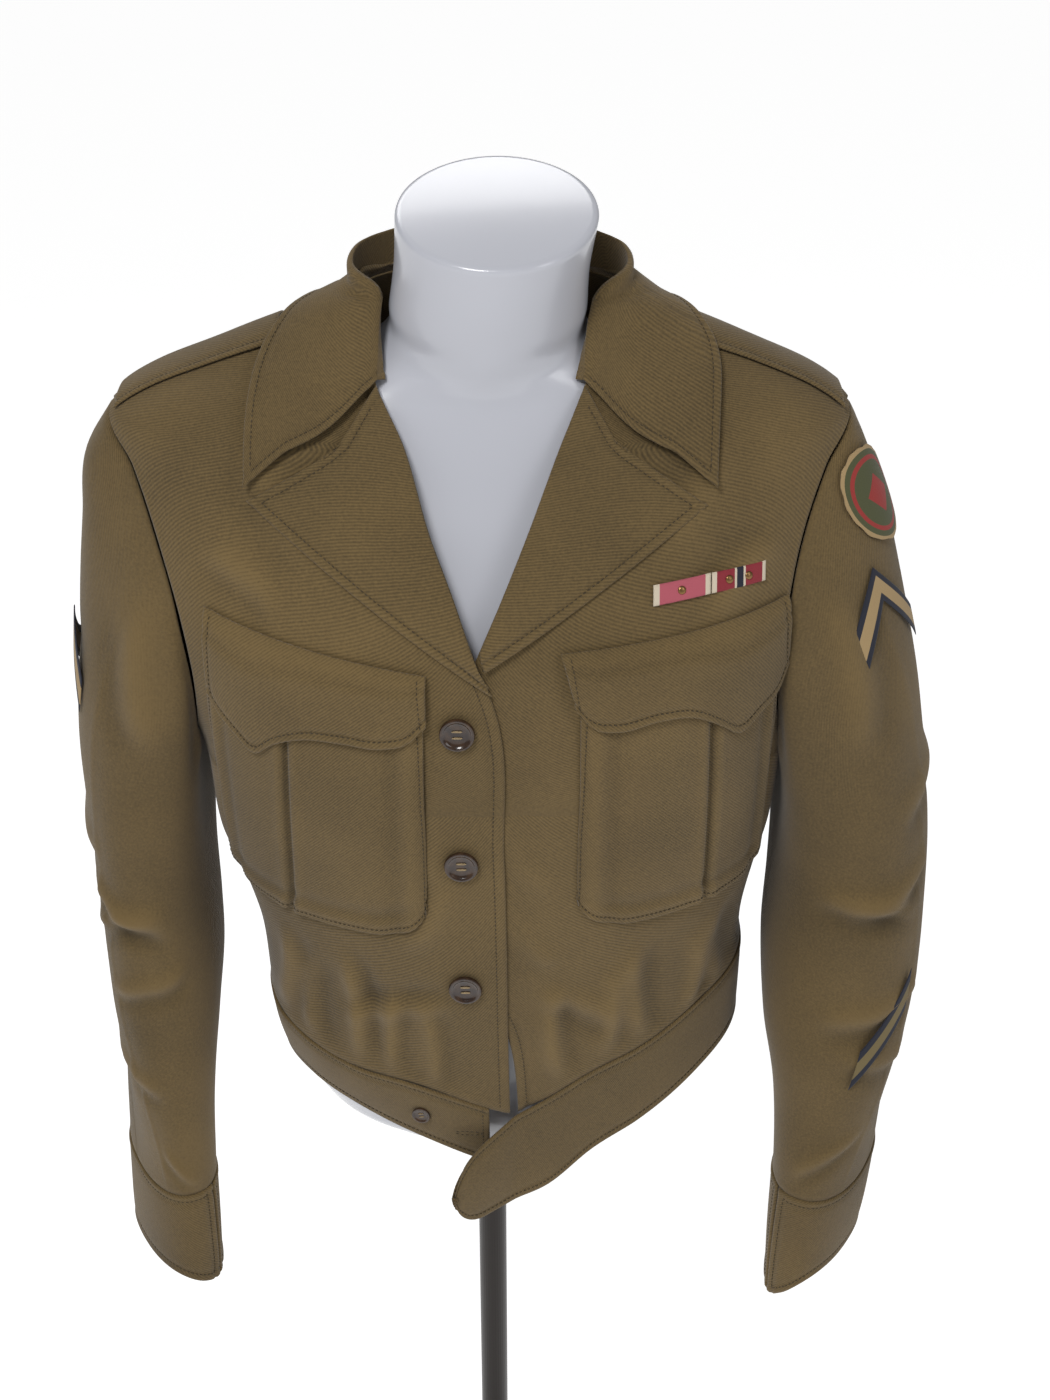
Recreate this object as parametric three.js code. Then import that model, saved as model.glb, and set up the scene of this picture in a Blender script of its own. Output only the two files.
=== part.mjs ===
// A waist-length wool field jacket on a limbless dress form with a round-base stand.
// Millimetres, +Z up. The origin is the centre of the stand's underside and the chest faces -Y.
// "right" and "left" are the wearer's: right is the -X side.
import * as THREE from "three";

// ---------------------------------------------------------------- driving sizes
const SHOULDER_HEIGHT = 1150; // height of the shoulder points above the floor
const SHOULDER_SEAM_Y = 8; // where the side and shoulder seams lie, front to back
const CLOTH = 1.5; // wall of one layer of wool
const DOUBLE_CLOTH = 2.4; // wall of a turned and stitched double layer
const GAP = 0.35; // space between neighbouring pieces
const ARMHOLE_DEPTH = 216; // shoulder point down to the underarm
const ARMHOLE_ANGLE = 33; // how far the armhole cuts into the front and back, in degrees
const HEM_LEVEL = -440; // mean level of the waistband seam, from the shoulder points
const HEM_SLACK_LEVEL = -250; // the body rows follow the hem's slope below this level
const NECK_LEVEL = 72; // top of the shoulder seam
const SLEEVE_BLEND = 0.5; // share of the sleeve in which the armhole's shape fades out
const CUFF_HEIGHT = 66;
const BUTTON_RADIUS = 11;
const SMALL_BUTTON_RADIUS = 6.5;
const POLE_RADIUS = 11;
const FORM_SHIFT = 3; // the form sits this far to the left of its pole's axis
const BASE_RADIUS = 150;
const BASE_HEIGHT = 9;

// ---------------------------------------------------------------- small tools
const DEG = Math.PI / 180;
const mix = (a, b, t) => a + (b - a) * t;
const clamp = (value, low, high) => Math.min(high, Math.max(low, value));
const smooth = (t) => {
  const s = clamp(t, 0, 1);
  return s * s * (3 - 2 * s);
};
const signedPower = (value, power) => Math.sign(value) * Math.abs(value) ** power;
const steps = (count) => Array.from({ length: count + 1 }, (_, i) => i / count);

// A table read by its first column; the other columns run smoothly between the rows.
function table(columns, rows) {
  const slope = (row, column) => {
    const before = rows[Math.max(0, row - 1)];
    const after = rows[Math.min(rows.length - 1, row + 1)];
    return (after[column] - before[column]) / (after[0] - before[0]);
  };
  return (key) => {
    const k = clamp(key, rows[0][0], rows[rows.length - 1][0]);
    let row = 0;
    while (row < rows.length - 2 && rows[row + 1][0] <= k) row += 1;
    const span = rows[row + 1][0] - rows[row][0];
    const t = (k - rows[row][0]) / span;
    const result = {};
    for (let c = 1; c < columns.length; c += 1) {
      const startPull = slope(row, c) * span * (t ** 3 - 2 * t ** 2 + t);
      const endPull = slope(row + 1, c) * span * (t ** 3 - t ** 2);
      result[columns[c]] = mix(rows[row][c], rows[row + 1][c], smooth(t)) + startPull + endPull;
    }
    return result;
  };
}

// ---------------------------------------------------------------- the torso that the panels follow
// up: level from the shoulder points; half: half width; front, back: depths from the seam line;
// middle: centre in x; frontSquare, backSquare: squareness of the outline (2 is an ellipse)
const torso = table(
  ["up", "half", "front", "back", "middle", "frontSquare", "backSquare"],
  [
    [-560, 172, 136, 90, 9, 2.3, 2.3],
    [-470, 173, 138, 92, 9, 2.3, 2.3],
    [-420, 172, 139, 95, 8, 2.3, 2.3],
    [-370, 173, 141, 99, 6, 2.3, 2.3],
    [-300, 187, 143, 108, 3, 2.3, 2.3],
    [-216, 199, 144, 116, 0, 2.35, 2.3],
    [-160, 209, 143, 118, -2, 2.4, 2.3],
    [-110, 219, 138, 116, -3, 2.4, 2.3],
    [-60, 227, 117, 109, -5, 2.35, 2.3],
    [-25, 231, 96, 98, -5, 2.3, 2.3],
    [0, 232, 78, 86, -5, 2.3, 2.3],
    [18, 208, 66, 77, -3, 2.3, 2.1],
    [31, 180, 55, 71, -1, 2.3, 1.9],
    [44, 151, 42, 66, 0, 2.3, 1.75],
    [56, 121, 33, 62, 1, 2.3, 1.7],
    [66, 96, 30, 60, 2, 2.2, 1.8],
    [72, 81, 28, 59, 2, 2.2, 2.0],
  ],
);

// angle 0 is the left side seam, -90 degrees the centre front, 90 the centre back
function torsoPoint(angle, up) {
  const ring = torso(up);
  const ahead = Math.sin(angle) < 0;
  const power = 2 / (ahead ? ring.frontSquare : ring.backSquare);
  const depth = ahead ? ring.front : ring.back;
  return new THREE.Vector3(
    ring.middle + ring.half * signedPower(Math.cos(angle), power),
    SHOULDER_SEAM_Y + depth * signedPower(Math.sin(angle), power),
    up,
  );
}

function surfaceNormal(surface, u, v, stepU, stepV) {
  const alongU = surface(u + stepU, v).sub(surface(u - stepU, v));
  const alongV = surface(u, v + stepV).sub(surface(u, v - stepV));
  return alongU.cross(alongV).normalize();
}

function torsoSpot(angle, up, out = 0) {
  const level = clamp(up, -559, NECK_LEVEL - 0.6);
  const normal = surfaceNormal(torsoPoint, angle, level, 0.01, 0.5);
  return { point: torsoPoint(angle, up).addScaledVector(normal, out), normal };
}

// the angle at which the front of the torso has this x
function frontAngle(x, up) {
  const ring = torso(up);
  const share = clamp((x - ring.middle) / ring.half, -1, 1);
  return -Math.acos(signedPower(share, ring.frontSquare / 2));
}

function frontSpot(x, up, out = 0) {
  return torsoSpot(frontAngle(x, up), up, out);
}

// how far a point is outside the torso, and the way out
function torsoClearance(point) {
  const reach = (p) => {
    const ring = torso(p.z);
    const dx = Math.abs((p.x - ring.middle) / ring.half);
    const dy = p.y - SHOULDER_SEAM_Y;
    const depth = Math.abs(dy / (dy < 0 ? ring.front : ring.back));
    const power = dy < 0 ? ring.frontSquare : ring.backSquare;
    return (dx ** power + depth ** power) ** (1 / power) - 1;
  };
  const h = 0.5;
  const way = new THREE.Vector3(
    reach(point.clone().setX(point.x + h)) - reach(point.clone().setX(point.x - h)),
    reach(point.clone().setY(point.y + h)) - reach(point.clone().setY(point.y - h)),
    reach(point.clone().setZ(point.z + h)) - reach(point.clone().setZ(point.z - h)),
  ).divideScalar(2 * h);
  const rate = way.length();
  return { distance: reach(point) / rate, way: way.divideScalar(rate) };
}

function keepClear(point, clearance) {
  for (let pass = 0; pass < 4; pass += 1) {
    const { distance, way } = torsoClearance(point);
    if (distance < clearance) point.addScaledVector(way, clearance - distance);
  }
  return point;
}

// ---------------------------------------------------------------- closed walls from grids of spots
function solidFromGrid(rows, wall, around = false) {
  const columns = rows[0].length;
  const vertices = [];
  for (const side of [0, 1]) {
    for (const row of rows) {
      for (const spot of row) {
        vertices.push(spot.point.clone().addScaledVector(spot.normal, -wall * side));
      }
    }
  }
  const inner = rows.length * columns;
  const index = [];
  const quad = (a, b, c, d) => index.push(a, b, c, a, c, d);
  const lastColumn = around ? columns : columns - 1;
  for (let r = 0; r < rows.length - 1; r += 1) {
    for (let c = 0; c < lastColumn; c += 1) {
      const next = (c + 1) % columns;
      const here = r * columns + c;
      const beside = r * columns + next;
      quad(here, beside, beside + columns, here + columns);
      quad(inner + here, inner + here + columns, inner + beside + columns, inner + beside);
    }
  }
  for (const [r, turned] of [[0, true], [rows.length - 1, false]]) {
    for (let c = 0; c < lastColumn; c += 1) {
      const here = r * columns + c;
      const beside = r * columns + ((c + 1) % columns);
      if (turned) quad(here, inner + here, inner + beside, beside);
      else quad(here, beside, inner + beside, inner + here);
    }
  }
  if (!around) {
    for (const [c, turned] of [[0, false], [columns - 1, true]]) {
      for (let r = 0; r < rows.length - 1; r += 1) {
        const here = r * columns + c;
        const below = here + columns;
        if (turned) quad(here, inner + here, inner + below, below);
        else quad(here, below, inner + below, inner + here);
      }
    }
  }
  return outwardGeometry(vertices, index);
}

function outwardGeometry(vertices, index) {
  let volume = 0;
  for (let i = 0; i < index.length; i += 3) {
    const [a, b, c] = [vertices[index[i]], vertices[index[i + 1]], vertices[index[i + 2]]];
    volume += a.dot(new THREE.Vector3().crossVectors(b, c));
  }
  if (volume < 0) index.reverse();
  const geometry = new THREE.BufferGeometry();
  geometry.setAttribute("position", new THREE.Float32BufferAttribute(vertices.flatMap((v) => [v.x, v.y, v.z]), 3));
  geometry.setIndex(index);
  geometry.computeVertexNormals();
  return geometry;
}

// Draws the edge rows or columns of a grid in by half a gap, so that neighbours stay apart.
function trimGrid(rows, edges) {
  const last = rows.length - 1;
  const end = rows[0].length - 1;
  const pull = (from, to) => {
    const way = to.point.clone().sub(from.point);
    from.point.addScaledVector(way.normalize(), GAP);
  };
  if (edges.includes("first row")) rows[0].forEach((spot, c) => pull(spot, rows[1][c]));
  if (edges.includes("last row")) rows[last].forEach((spot, c) => pull(spot, rows[last - 1][c]));
  if (edges.includes("first column")) rows.forEach((row) => pull(row[0], row[1]));
  if (edges.includes("last column")) rows.forEach((row) => pull(row[end], row[end - 1]));
  return rows;
}

const grid = (vs, us, spotAt) => vs.map((v) => us.map((u) => spotAt(u, v)));

// Grid of plain points given their own normals from their neighbours.
function spotsFromPoints(points, facing) {
  return points.map((row, r) => row.map((point, c) => {
    const west = row[Math.max(0, c - 1)];
    const east = row[Math.min(row.length - 1, c + 1)];
    const south = points[Math.max(0, r - 1)][c];
    const north = points[Math.min(points.length - 1, r + 1)][c];
    const normal = east.clone().sub(west).cross(north.clone().sub(south)).normalize();
    return { point, normal: normal.multiplyScalar(facing) };
  }));
}

// ---------------------------------------------------------------- waistband line and body panels
// angle as on the torso, in degrees; top: level of the seam; height: depth of the band;
// tuck: how far its lower edge draws in
const BAND_COLUMNS = ["angle", "top", "height", "tuck"];
const rightBand = table(BAND_COLUMNS, [
  [-360, -405, 56, 3],
  [-315, -418, 56, 3],
  [-270, -428, 56, 3],
  [-225, -434, 55, 4],
  [-180, -437, 52, 8],
  [-145, -437, 47, 12],
  [-125, -442, 46, 12],
  [-106, -447, 53, 7],
  [-89, -468, 50, 2],
]);
const leftBand = table(BAND_COLUMNS, [
  [-88, -468, 78, 0],
  [-83, -456, 80, 0],
  [-73, -435, 70, 0],
  [-61, -422, 64, 0],
  [-41, -403, 62, 2],
  [0, -405, 56, 3],
]);

function bandRow(angle) {
  let degrees = angle / DEG;
  while (degrees > 0) degrees -= 360;
  return degrees > -88.5 ? leftBand(degrees) : rightBand(degrees);
}

// level of a body row: the rows below the slack level spread to meet the sloping hem
function rowLevel(level, angle) {
  if (level >= HEM_SLACK_LEVEL) return level;
  const share = (level - HEM_SLACK_LEVEL) / (HEM_LEVEL - HEM_SLACK_LEVEL);
  return mix(HEM_SLACK_LEVEL, bandRow(angle).top, share);
}

// The armhole: turn 0 is the shoulder point, 90 the front (or back) notch, 180 the underarm.
function armholeAngleAtTurn(turn) {
  return ARMHOLE_ANGLE * DEG * Math.abs(Math.sin(turn)) ** 0.8;
}
function armholeAngleAtLevel(level) {
  if (level >= 0 || level <= -ARMHOLE_DEPTH) return 0;
  return armholeAngleAtTurn(Math.acos(1 + (2 * level) / ARMHOLE_DEPTH));
}

// x of each front's inner edge: the closing edge, then the lapel's roll line, then the neckline
const frontEdge = table(
  ["up", "right", "left"],
  [
    [-560, 13, 22],
    [-470, 13, 19],
    [-378, 11, 10],
    [-330, 11, -8],
    [-250, 10, -20],
    [-140, 4, -18],
    [-108, -8, -5],
    [-75, -20, 10],
    [-44, -33, 24],
    [5, -51, 46],
    [31, -66, 59],
    [50, -74, 70],
    [72, -76, 78],
  ],
);
const LEFT_FRONT_LAP = { depth: 2.3, fullTo: 22, noneFrom: 42 };

const FRONT_COLUMNS = 9;
const BACK_COLUMNS = 16;
const BODY_LEVELS = [
  -440, -405, -365, -325, -285, -250, -230, -216, -212, -203, -188, -165, -140, -108,
  -75, -45, -22, -8, 0, 10, 22, 34, 46, 57, 66, 72,
];

function frontPanel(side) {
  const rightSide = side === "right";
  const rows = grid(BODY_LEVELS, steps(FRONT_COLUMNS), (u, level) => {
    const inner = frontAngle(frontEdge(level)[side], level);
    const cut = armholeAngleAtLevel(level);
    const outer = rightSide ? -Math.PI + cut : -cut;
    const angle = mix(inner, outer, u);
    const spot = torsoSpot(angle, rowLevel(level, angle));
    if (!rightSide) {
      const { depth, fullTo, noneFrom } = LEFT_FRONT_LAP;
      const lap = smooth((noneFrom - spot.point.x) / (noneFrom - fullTo)) * smooth((-50 - level) / 50);
      spot.point.addScaledVector(spot.normal, -depth * lap);
    }
    return spot;
  });
  return solidFromGrid(trimGrid(rows, ["first row", "last column"]), CLOTH);
}

function backPanel() {
  const rows = grid(BODY_LEVELS, steps(BACK_COLUMNS), (u, level) => {
    const cut = armholeAngleAtLevel(level);
    const angle = mix(cut, Math.PI - cut, u);
    return torsoSpot(angle, rowLevel(level, angle - 2 * Math.PI));
  });
  return solidFromGrid(trimGrid(rows, ["first row", "first column", "last column"]), CLOTH);
}

// ---------------------------------------------------------------- waistband with its hanging tab
const BAND_PROUD = 0.8;

function bandSpot(angle, share) {
  const row = bandRow(angle);
  const drop = row.height * share;
  const spot = torsoSpot(angle, row.top - GAP - drop);
  const out = BAND_PROUD - row.tuck * share ** 1.5;
  spot.point.addScaledVector(spot.normal, out);
  return spot;
}

const BAND_END_SHORT = 3; // degrees by which the right band stops short of the closing edge
const hemAngle = (side) => frontAngle(frontEdge(HEM_LEVEL)[side], HEM_LEVEL) / DEG;

function waistbandPanel(fromDegrees, toDegrees, columns, edges) {
  const shares = [0, 0.35, 0.7, 1];
  const rows = grid(shares, steps(columns), (u, share) => {
    return bandSpot(mix(fromDegrees, toDegrees, u) * DEG, share);
  });
  return solidFromGrid(trimGrid(rows, ["first row", ...edges]), DOUBLE_CLOTH);
}

// Past the left front's edge the band hangs on as a tab: straight, drooping, with a round end.
const TAB = { length: 55, across: 0.8, droop: 0.62, forward: 0.3, round: 26, belly: 3 };

function leftBandWithTab() {
  const shares = [0, 0.2, 0.5, 0.8, 1];
  const fixedAngles = steps(FRONT_COLUMNS).map((u) => mix(0, hemAngle("left"), u) * DEG);
  const tailReach = [0.14, 0.3, 0.48, 0.64, 0.78, 0.9, 1];
  const points = shares.map((share) => {
    const fixed = fixedAngles.map((angle) => bandSpot(angle, share).point);
    const top = bandSpot(fixedAngles[FRONT_COLUMNS], 0).point;
    const low = bandSpot(fixedAngles[FRONT_COLUMNS], 1).point;
    const tail = tailReach.map((portion) => {
      const reach = portion * TAB.length;
      const fromRound = clamp(1 - (TAB.length - reach) / TAB.round, 0, 1);
      const squeeze = mix(share, 0.46, (1 - Math.sqrt(1 - fromRound ** 2)) * 0.6);
      const root = top.clone().lerp(low, squeeze);
      root.x -= TAB.across * reach;
      root.y -= TAB.forward * reach + TAB.belly * Math.sin(Math.PI * portion) * (1.2 - (2 * share - 1) ** 2) + 3 * portion ** 3;
      root.z -= TAB.droop * reach * mix(1, 0.45, share);
      return root;
    });
    return [...fixed, ...tail];
  });
  const rows = spotsFromPoints(points, 1);
  return solidFromGrid(trimGrid(rows, ["first row", "first column"]), DOUBLE_CLOTH);
}

// ---------------------------------------------------------------- lapels, collar and shoulder loops
// Corners on the chest as x and level: the roll line follows the front edge table.
const LAPELS = {
  right: { break: -110, breakX: 3, breakEdge: -133, tip: [-143, -31], notch: [-89, -3], top: 30 },
  left: { break: -106, breakX: -1, breakEdge: -118, tip: [132, -33], notch: [77, 1], top: 30 },
};
const LAPEL_OUT = 2.3;

function lapel(side) {
  const shape = LAPELS[side];
  const across = [0, 0.12, 0.33, 0.55, 0.78, 1];
  const upward = [0, 0.1, 0.22, 0.38, 0.55, 0.72, 0.87, 1];
  const rows = grid(upward, across, (u, v) => {
    const rollLevel = mix(shape.break, shape.top, v);
    const roll = [frontEdge(rollLevel)[side], rollLevel];
    const edge = [mix(shape.breakX, shape.tip[0], v), mix(shape.breakEdge, shape.tip[1], v)];
    let x = mix(roll[0], edge[0], u);
    let level = mix(roll[1], edge[1], u);
    const gorge = u < across[2] ? u / across[2] : (1 - u) / (1 - across[2]);
    const straight = [mix(roll[0], edge[0], across[2]), mix(roll[1], edge[1], across[2])];
    const bend = gorge * v ** 3;
    x += (shape.notch[0] - straight[0]) * bend;
    level += (shape.notch[1] - straight[1]) * bend;
    return frontSpot(x, level, LAPEL_OUT + 1.2 * Math.sin(Math.PI * u));
  });
  return solidFromGrid(rows, CLOTH);
}

// Half of the collar, from the lapel notch to the centre back. seam: where the stand is sewn on;
// fold: its top; edge: the free edge of the fall; middle: the line about which the left half mirrors it.
const collar = table(
  ["along", "seamX", "seamY", "seamUp", "foldX", "foldY", "foldUp", "edgeX", "edgeY", "edgeUp", "middle"],
  [
    [0.0, -60, -45, 34, -65, -49, 35, -145, -80, -21, -3.5],
    [0.14, -63, -26, 52, -64, -27, 60, -143, -52, 12, -2],
    [0.28, -64, -8, 66, -61.5, -7, 80, -135, -20, 44, 2],
    [0.42, -64, 12, 72, -61, 14, 94, -113, 14, 60, 4],
    [0.58, -59, 36, 70, -54, 38, 97, -92, 48, 55, 5],
    [0.78, -38, 58, 68, -34, 59, 98, -56, 82, 50, 4],
    [1.0, 4, 66, 67, 4, 67, 98, 4, 96, 47, 4],
  ],
);
const COLLAR_NOTCH_PULL = 14; // how far the end of the collar bends to meet the notch
const COLLAR_PROFILE = [-1, -0.5, -0.12, 0.1, 0.3, 0.6, 1];

function collarPoint(along, t) {
  const half = collar(1 - Math.abs(1 - 2 * along));
  const mirrored = along > 0.5;
  const fold = new THREE.Vector3(half.foldX, half.foldY, half.foldUp);
  const end = t < 0
    ? new THREE.Vector3(half.seamX, half.seamY, half.seamUp)
    : new THREE.Vector3(half.edgeX, half.edgeY, half.edgeUp);
  const point = fold.lerp(end, Math.abs(t));
  const front = 1 - smooth((1 - Math.abs(1 - 2 * along)) / 0.3);
  if (t > 0) {
    const away = new THREE.Vector3(half.foldX - half.middle, half.foldY, 0).normalize();
    point.addScaledVector(away, 1.2 * Math.min(1, t / 0.12) * (1 - t));
    point.z -= COLLAR_NOTCH_PULL * front * Math.sin(Math.PI * Math.min(1, t * 1.5) ** 0.9);
  }
  if (mirrored) point.x = 2 * half.middle - point.x;
  return keepClear(point, t > 0 ? 6.0 : 2.2);
}

function collarPiece() {
  const alongs = [0, 0.03, 0.07, 0.12, 0.17, 0.22, 0.28, 0.34, 0.42, 0.5];
  const all = [...alongs, ...alongs.slice(0, -1).reverse().map((a) => 1 - a)];
  const points = COLLAR_PROFILE.map((t) => all.map((along) => collarPoint(along, t)));
  return solidFromGrid(spotsFromPoints(points, 1), CLOTH);
}

// The shoulder loops lie along the shoulder seam, from under the collar to the sleeve head.
const LOOP = { innerX: 122, outerX: 226, front: -24, back: 24, out: 3.2 };

function shoulderTop(x, y, out) {
  let low = -60;
  let high = NECK_LEVEL;
  for (let pass = 0; pass < 30; pass += 1) {
    const middle = (low + high) / 2;
    const inside = torsoClearance(new THREE.Vector3(x, y, middle)).distance < 0;
    if (inside) low = middle;
    else high = middle;
  }
  const point = new THREE.Vector3(x, y, low);
  const normal = torsoClearance(point).way;
  return { point: point.addScaledVector(normal, out), normal };
}

function shoulderLoop(side) {
  const sign = side === "right" ? -1 : 1;
  const rows = grid([0, 0.2, 0.4, 0.6, 0.8, 1], steps(7), (u, v) => {
    const middleX = torso(0).middle;
    const x = middleX + sign * mix(LOOP.innerX, LOOP.outerX - 2, u);
    const taper = mix(1, 0.92, u);
    const y = SHOULDER_SEAM_Y + mix(LOOP.front, LOOP.back, v) * taper;
    return shoulderTop(x, y, LOOP.out);
  });
  return solidFromGrid(rows, DOUBLE_CLOTH - 0.4);
}

// ---------------------------------------------------------------- sleeves and cuffs
// up: level; x, y: centre, x being the distance from the centre plane; wide, deep: half sizes;
// twist: how far the section turns outwards at its back, in degrees; square: squareness
const SLEEVE_COLUMNS = ["up", "x", "y", "wide", "deep", "twist", "square"];
const sleeveTables = {
  right: table(SLEEVE_COLUMNS, [
    [-680, 236, -88, 25, 46, 32, 2.2],
    [-600, 238, -74, 26, 52, 30, 2.2],
    [-545, 238, -62, 27, 54, 26, 2.3],
    [-500, 237, -51, 30, 58, 18, 2.4],
    [-460, 234, -41, 34, 62, 9, 2.6],
    [-420, 232, -32, 37, 66, 2, 2.8],
    [-373, 233, -24, 37.5, 69, 0, 2.8],
    [-324, 235, -18, 37, 72, 0, 2.6],
    [-258, 237.5, -10, 36, 76, 0, 2.4],
    [-213, 239, -3, 36, 78, 0, 2.3],
    [-166, 238.5, 3, 35, 79, 0, 2.3],
    [-110, 236.5, 7, 33, 74, 0, 2.2],
    [-67, 234, 8, 31, 62, 0, 2.2],
    [-25, 231, 8, 27, 38, 0, 2.0],
    [0, 226, 8, 16, 17, 0, 2.0],
  ]),
  left: table(SLEEVE_COLUMNS, [
    [-680, 232, -88, 24, 44, 32, 2.2],
    [-640, 238, -80, 26, 50, 32, 2.2],
    [-600, 242, -72, 30, 54, 30, 2.2],
    [-545, 246, -60, 34, 60, 24, 2.3],
    [-494, 247, -48, 41, 64, 14, 2.4],
    [-445, 245, -38, 50, 68, 4, 2.5],
    [-394, 247, -27, 54, 71, 0, 2.5],
    [-345, 249, -19, 53, 73, 0, 2.4],
    [-264, 249, -8, 48, 77, 0, 2.3],
    [-216, 246, -1, 44, 79, 0, 2.3],
    [-169, 243, 4, 40, 79, 0, 2.3],
    [-110, 236, 7, 33.5, 74, 0, 2.2],
    [-67, 230, 8, 28, 62, 0, 2.2],
    [-25, 222, 8, 19, 38, 0, 2.0],
    [0, 217, 8, 12, 17, 0, 2.0],
  ]),
};
const SLEEVE_END = { right: -560, left: -562 };

// turn 0 is the outer side, 90 degrees the front, 180 the side next to the body
function sleeveRing(side, turn, up) {
  const row = sleeveTables[side](up);
  const power = 2 / row.square;
  const across = row.wide * signedPower(Math.cos(turn), power);
  const ahead = row.deep * signedPower(Math.sin(turn), power);
  const twist = row.twist * DEG;
  const x = row.x + across * Math.cos(twist) - ahead * Math.sin(twist);
  const y = row.y - ahead * Math.cos(twist) - across * Math.sin(twist);
  return new THREE.Vector3(side === "right" ? -x : x, y, up);
}

function armholeSpot(side, turn) {
  const angle = armholeAngleAtTurn(turn);
  const level = (-ARMHOLE_DEPTH * (1 - Math.cos(turn))) / 2;
  const fore = Math.sin(turn) >= 0 ? -angle : angle;
  return torsoSpot(side === "right" ? Math.PI - fore : fore, level);
}

function sleevePoint(side, turn, t) {
  const start = armholeSpot(side, turn).point;
  const up = mix(start.z, SLEEVE_END[side], t);
  const fade = 1 - smooth(t / SLEEVE_BLEND);
  const pull = start.clone().sub(sleeveRing(side, turn, start.z));
  return sleeveRing(side, turn, up).addScaledVector(pull, fade ** 1.6);
}

const SLEEVE_ROWS = [0, 0.028, 0.075, 0.145, 0.225, 0.32, 0.425, 0.54, 0.66, 0.77, 0.88, 1];
const ARMHOLE_TURNS = BODY_LEVELS.filter((level) => level <= 0 && level >= -ARMHOLE_DEPTH)
  .map((level) => Math.acos(clamp(1 + (2 * level) / ARMHOLE_DEPTH, -1, 1)))
  .reverse();
const SLEEVE_TURNS = [
  ...ARMHOLE_TURNS,
  ...ARMHOLE_TURNS.slice(1, -1).reverse().map((turn) => 2 * Math.PI - turn),
];

function sleeveNormal(side, turn, t) {
  const outward = side === "right" ? -1 : 1;
  const surface = (a, b) => sleevePoint(side, a, b);
  return surfaceNormal(surface, turn, Math.max(t, 0.01), 0.02, 0.008).multiplyScalar(outward);
}

function sleeveSpot(side, turn, t, out = 0) {
  const normal = sleeveNormal(side, turn, t);
  return { point: sleevePoint(side, turn, t).addScaledVector(normal, out), normal };
}

function sleeve(side) {
  const rows = grid(SLEEVE_ROWS, side === "left" ? SLEEVE_TURNS.map((turn) => 2 * Math.PI - turn) : SLEEVE_TURNS, (turn, t) => {
    const spot = sleeveSpot(side, turn, t);
    return t === 0 ? { point: spot.point, normal: armholeSpot(side, turn).normal } : spot;
  });
  return solidFromGrid(trimGrid(rows, ["first row", "last row"]), CLOTH, true);
}

// The cuff is an open band: its two ends meet at the front inner corner and droop there.
const CUFF = { openAt: 118, proud: 0.9, droop: { right: 14, left: 30 }, spread: 46 };

function cuff(side) {
  const sign = side === "right" ? 1 : -1;
  const turns = steps(22).map((u) => (CUFF.openAt + 1.5 + u * 357) * DEG);
  const rows = grid([0, 0.3, 0.65, 1], turns, (turn, v) => {
    const fromEnd = Math.min(turn / DEG - CUFF.openAt, CUFF.openAt + 360 - turn / DEG);
    const droop = CUFF.droop[side] * Math.exp(-((fromEnd / CUFF.spread) ** 2)) * v;
    const surface = (a, up) => sleeveRing(side, a, up);
    const up = SLEEVE_END[side] - CUFF_HEIGHT * v;
    const normal = surfaceNormal(surface, turn, up, 0.02, 1).multiplyScalar(sign);
    const point = surface(turn, up).addScaledVector(normal, CUFF.proud);
    point.z -= droop;
    return { point, normal };
  });
  return solidFromGrid(trimGrid(rows, ["first row"]), DOUBLE_CLOTH);
}

// ---------------------------------------------------------------- pockets and flaps
// x of the inner and outer edges, levels of the top and bottom, on each side of the chest
const POCKETS = {
  right: { inner: -38, outer: -174, top: -140, bottom: -314, pleat: -110, round: 26 },
  left: { inner: 56, outer: 180, top: -140, bottom: -307, pleat: 124, round: 26 },
};
const POCKET_OUT = 2.5; // outer face of the pocket cloth above the chest, at its edges
const POCKET_FULLNESS = 4.5; // how much more the bellows stands off in the middle

function pocketSpot(side, u, v) {
  const shape = POCKETS[side];
  const inner = frontAngle(shape.inner, mix(shape.top, shape.bottom, v));
  const outer = frontAngle(shape.outer, mix(shape.top, shape.bottom, v));
  const angle = mix(inner, outer, u);
  const width = Math.abs(shape.outer - shape.inner);
  const fromSide = Math.min(u, 1 - u) * width;
  const corner = fromSide < shape.round ? 1 - Math.sqrt(1 - (1 - fromSide / shape.round) ** 2) : 0;
  const bottom = shape.bottom + corner * shape.round * 0.9;
  const pleatAt = (shape.pleat - shape.inner) / (shape.outer - shape.inner);
  const groove = Math.exp(-((((u - pleatAt) * width) / 4) ** 2));
  const full = POCKET_FULLNESS * Math.sin(Math.PI * clamp(u, 0, 1)) ** 0.6 * Math.sin(Math.PI * mix(0.25, 0.95, v));
  const spot = torsoSpot(angle, mix(shape.top, bottom, v), POCKET_OUT + full - 2.2 * groove);
  return spot;
}

function pocket(side) {
  const shape = POCKETS[side];
  const pleatAt = (shape.pleat - shape.inner) / (shape.outer - shape.inner);
  const us = [0, 0.04, 0.12, 0.28, pleatAt - 0.035, pleatAt, pleatAt + 0.035, 0.72, 0.88, 0.96, 1];
  return solidFromGrid(grid([0, 0.2, 0.45, 0.7, 0.88, 1], us, (u, v) => pocketSpot(side, u, v)), CLOTH);
}

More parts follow.
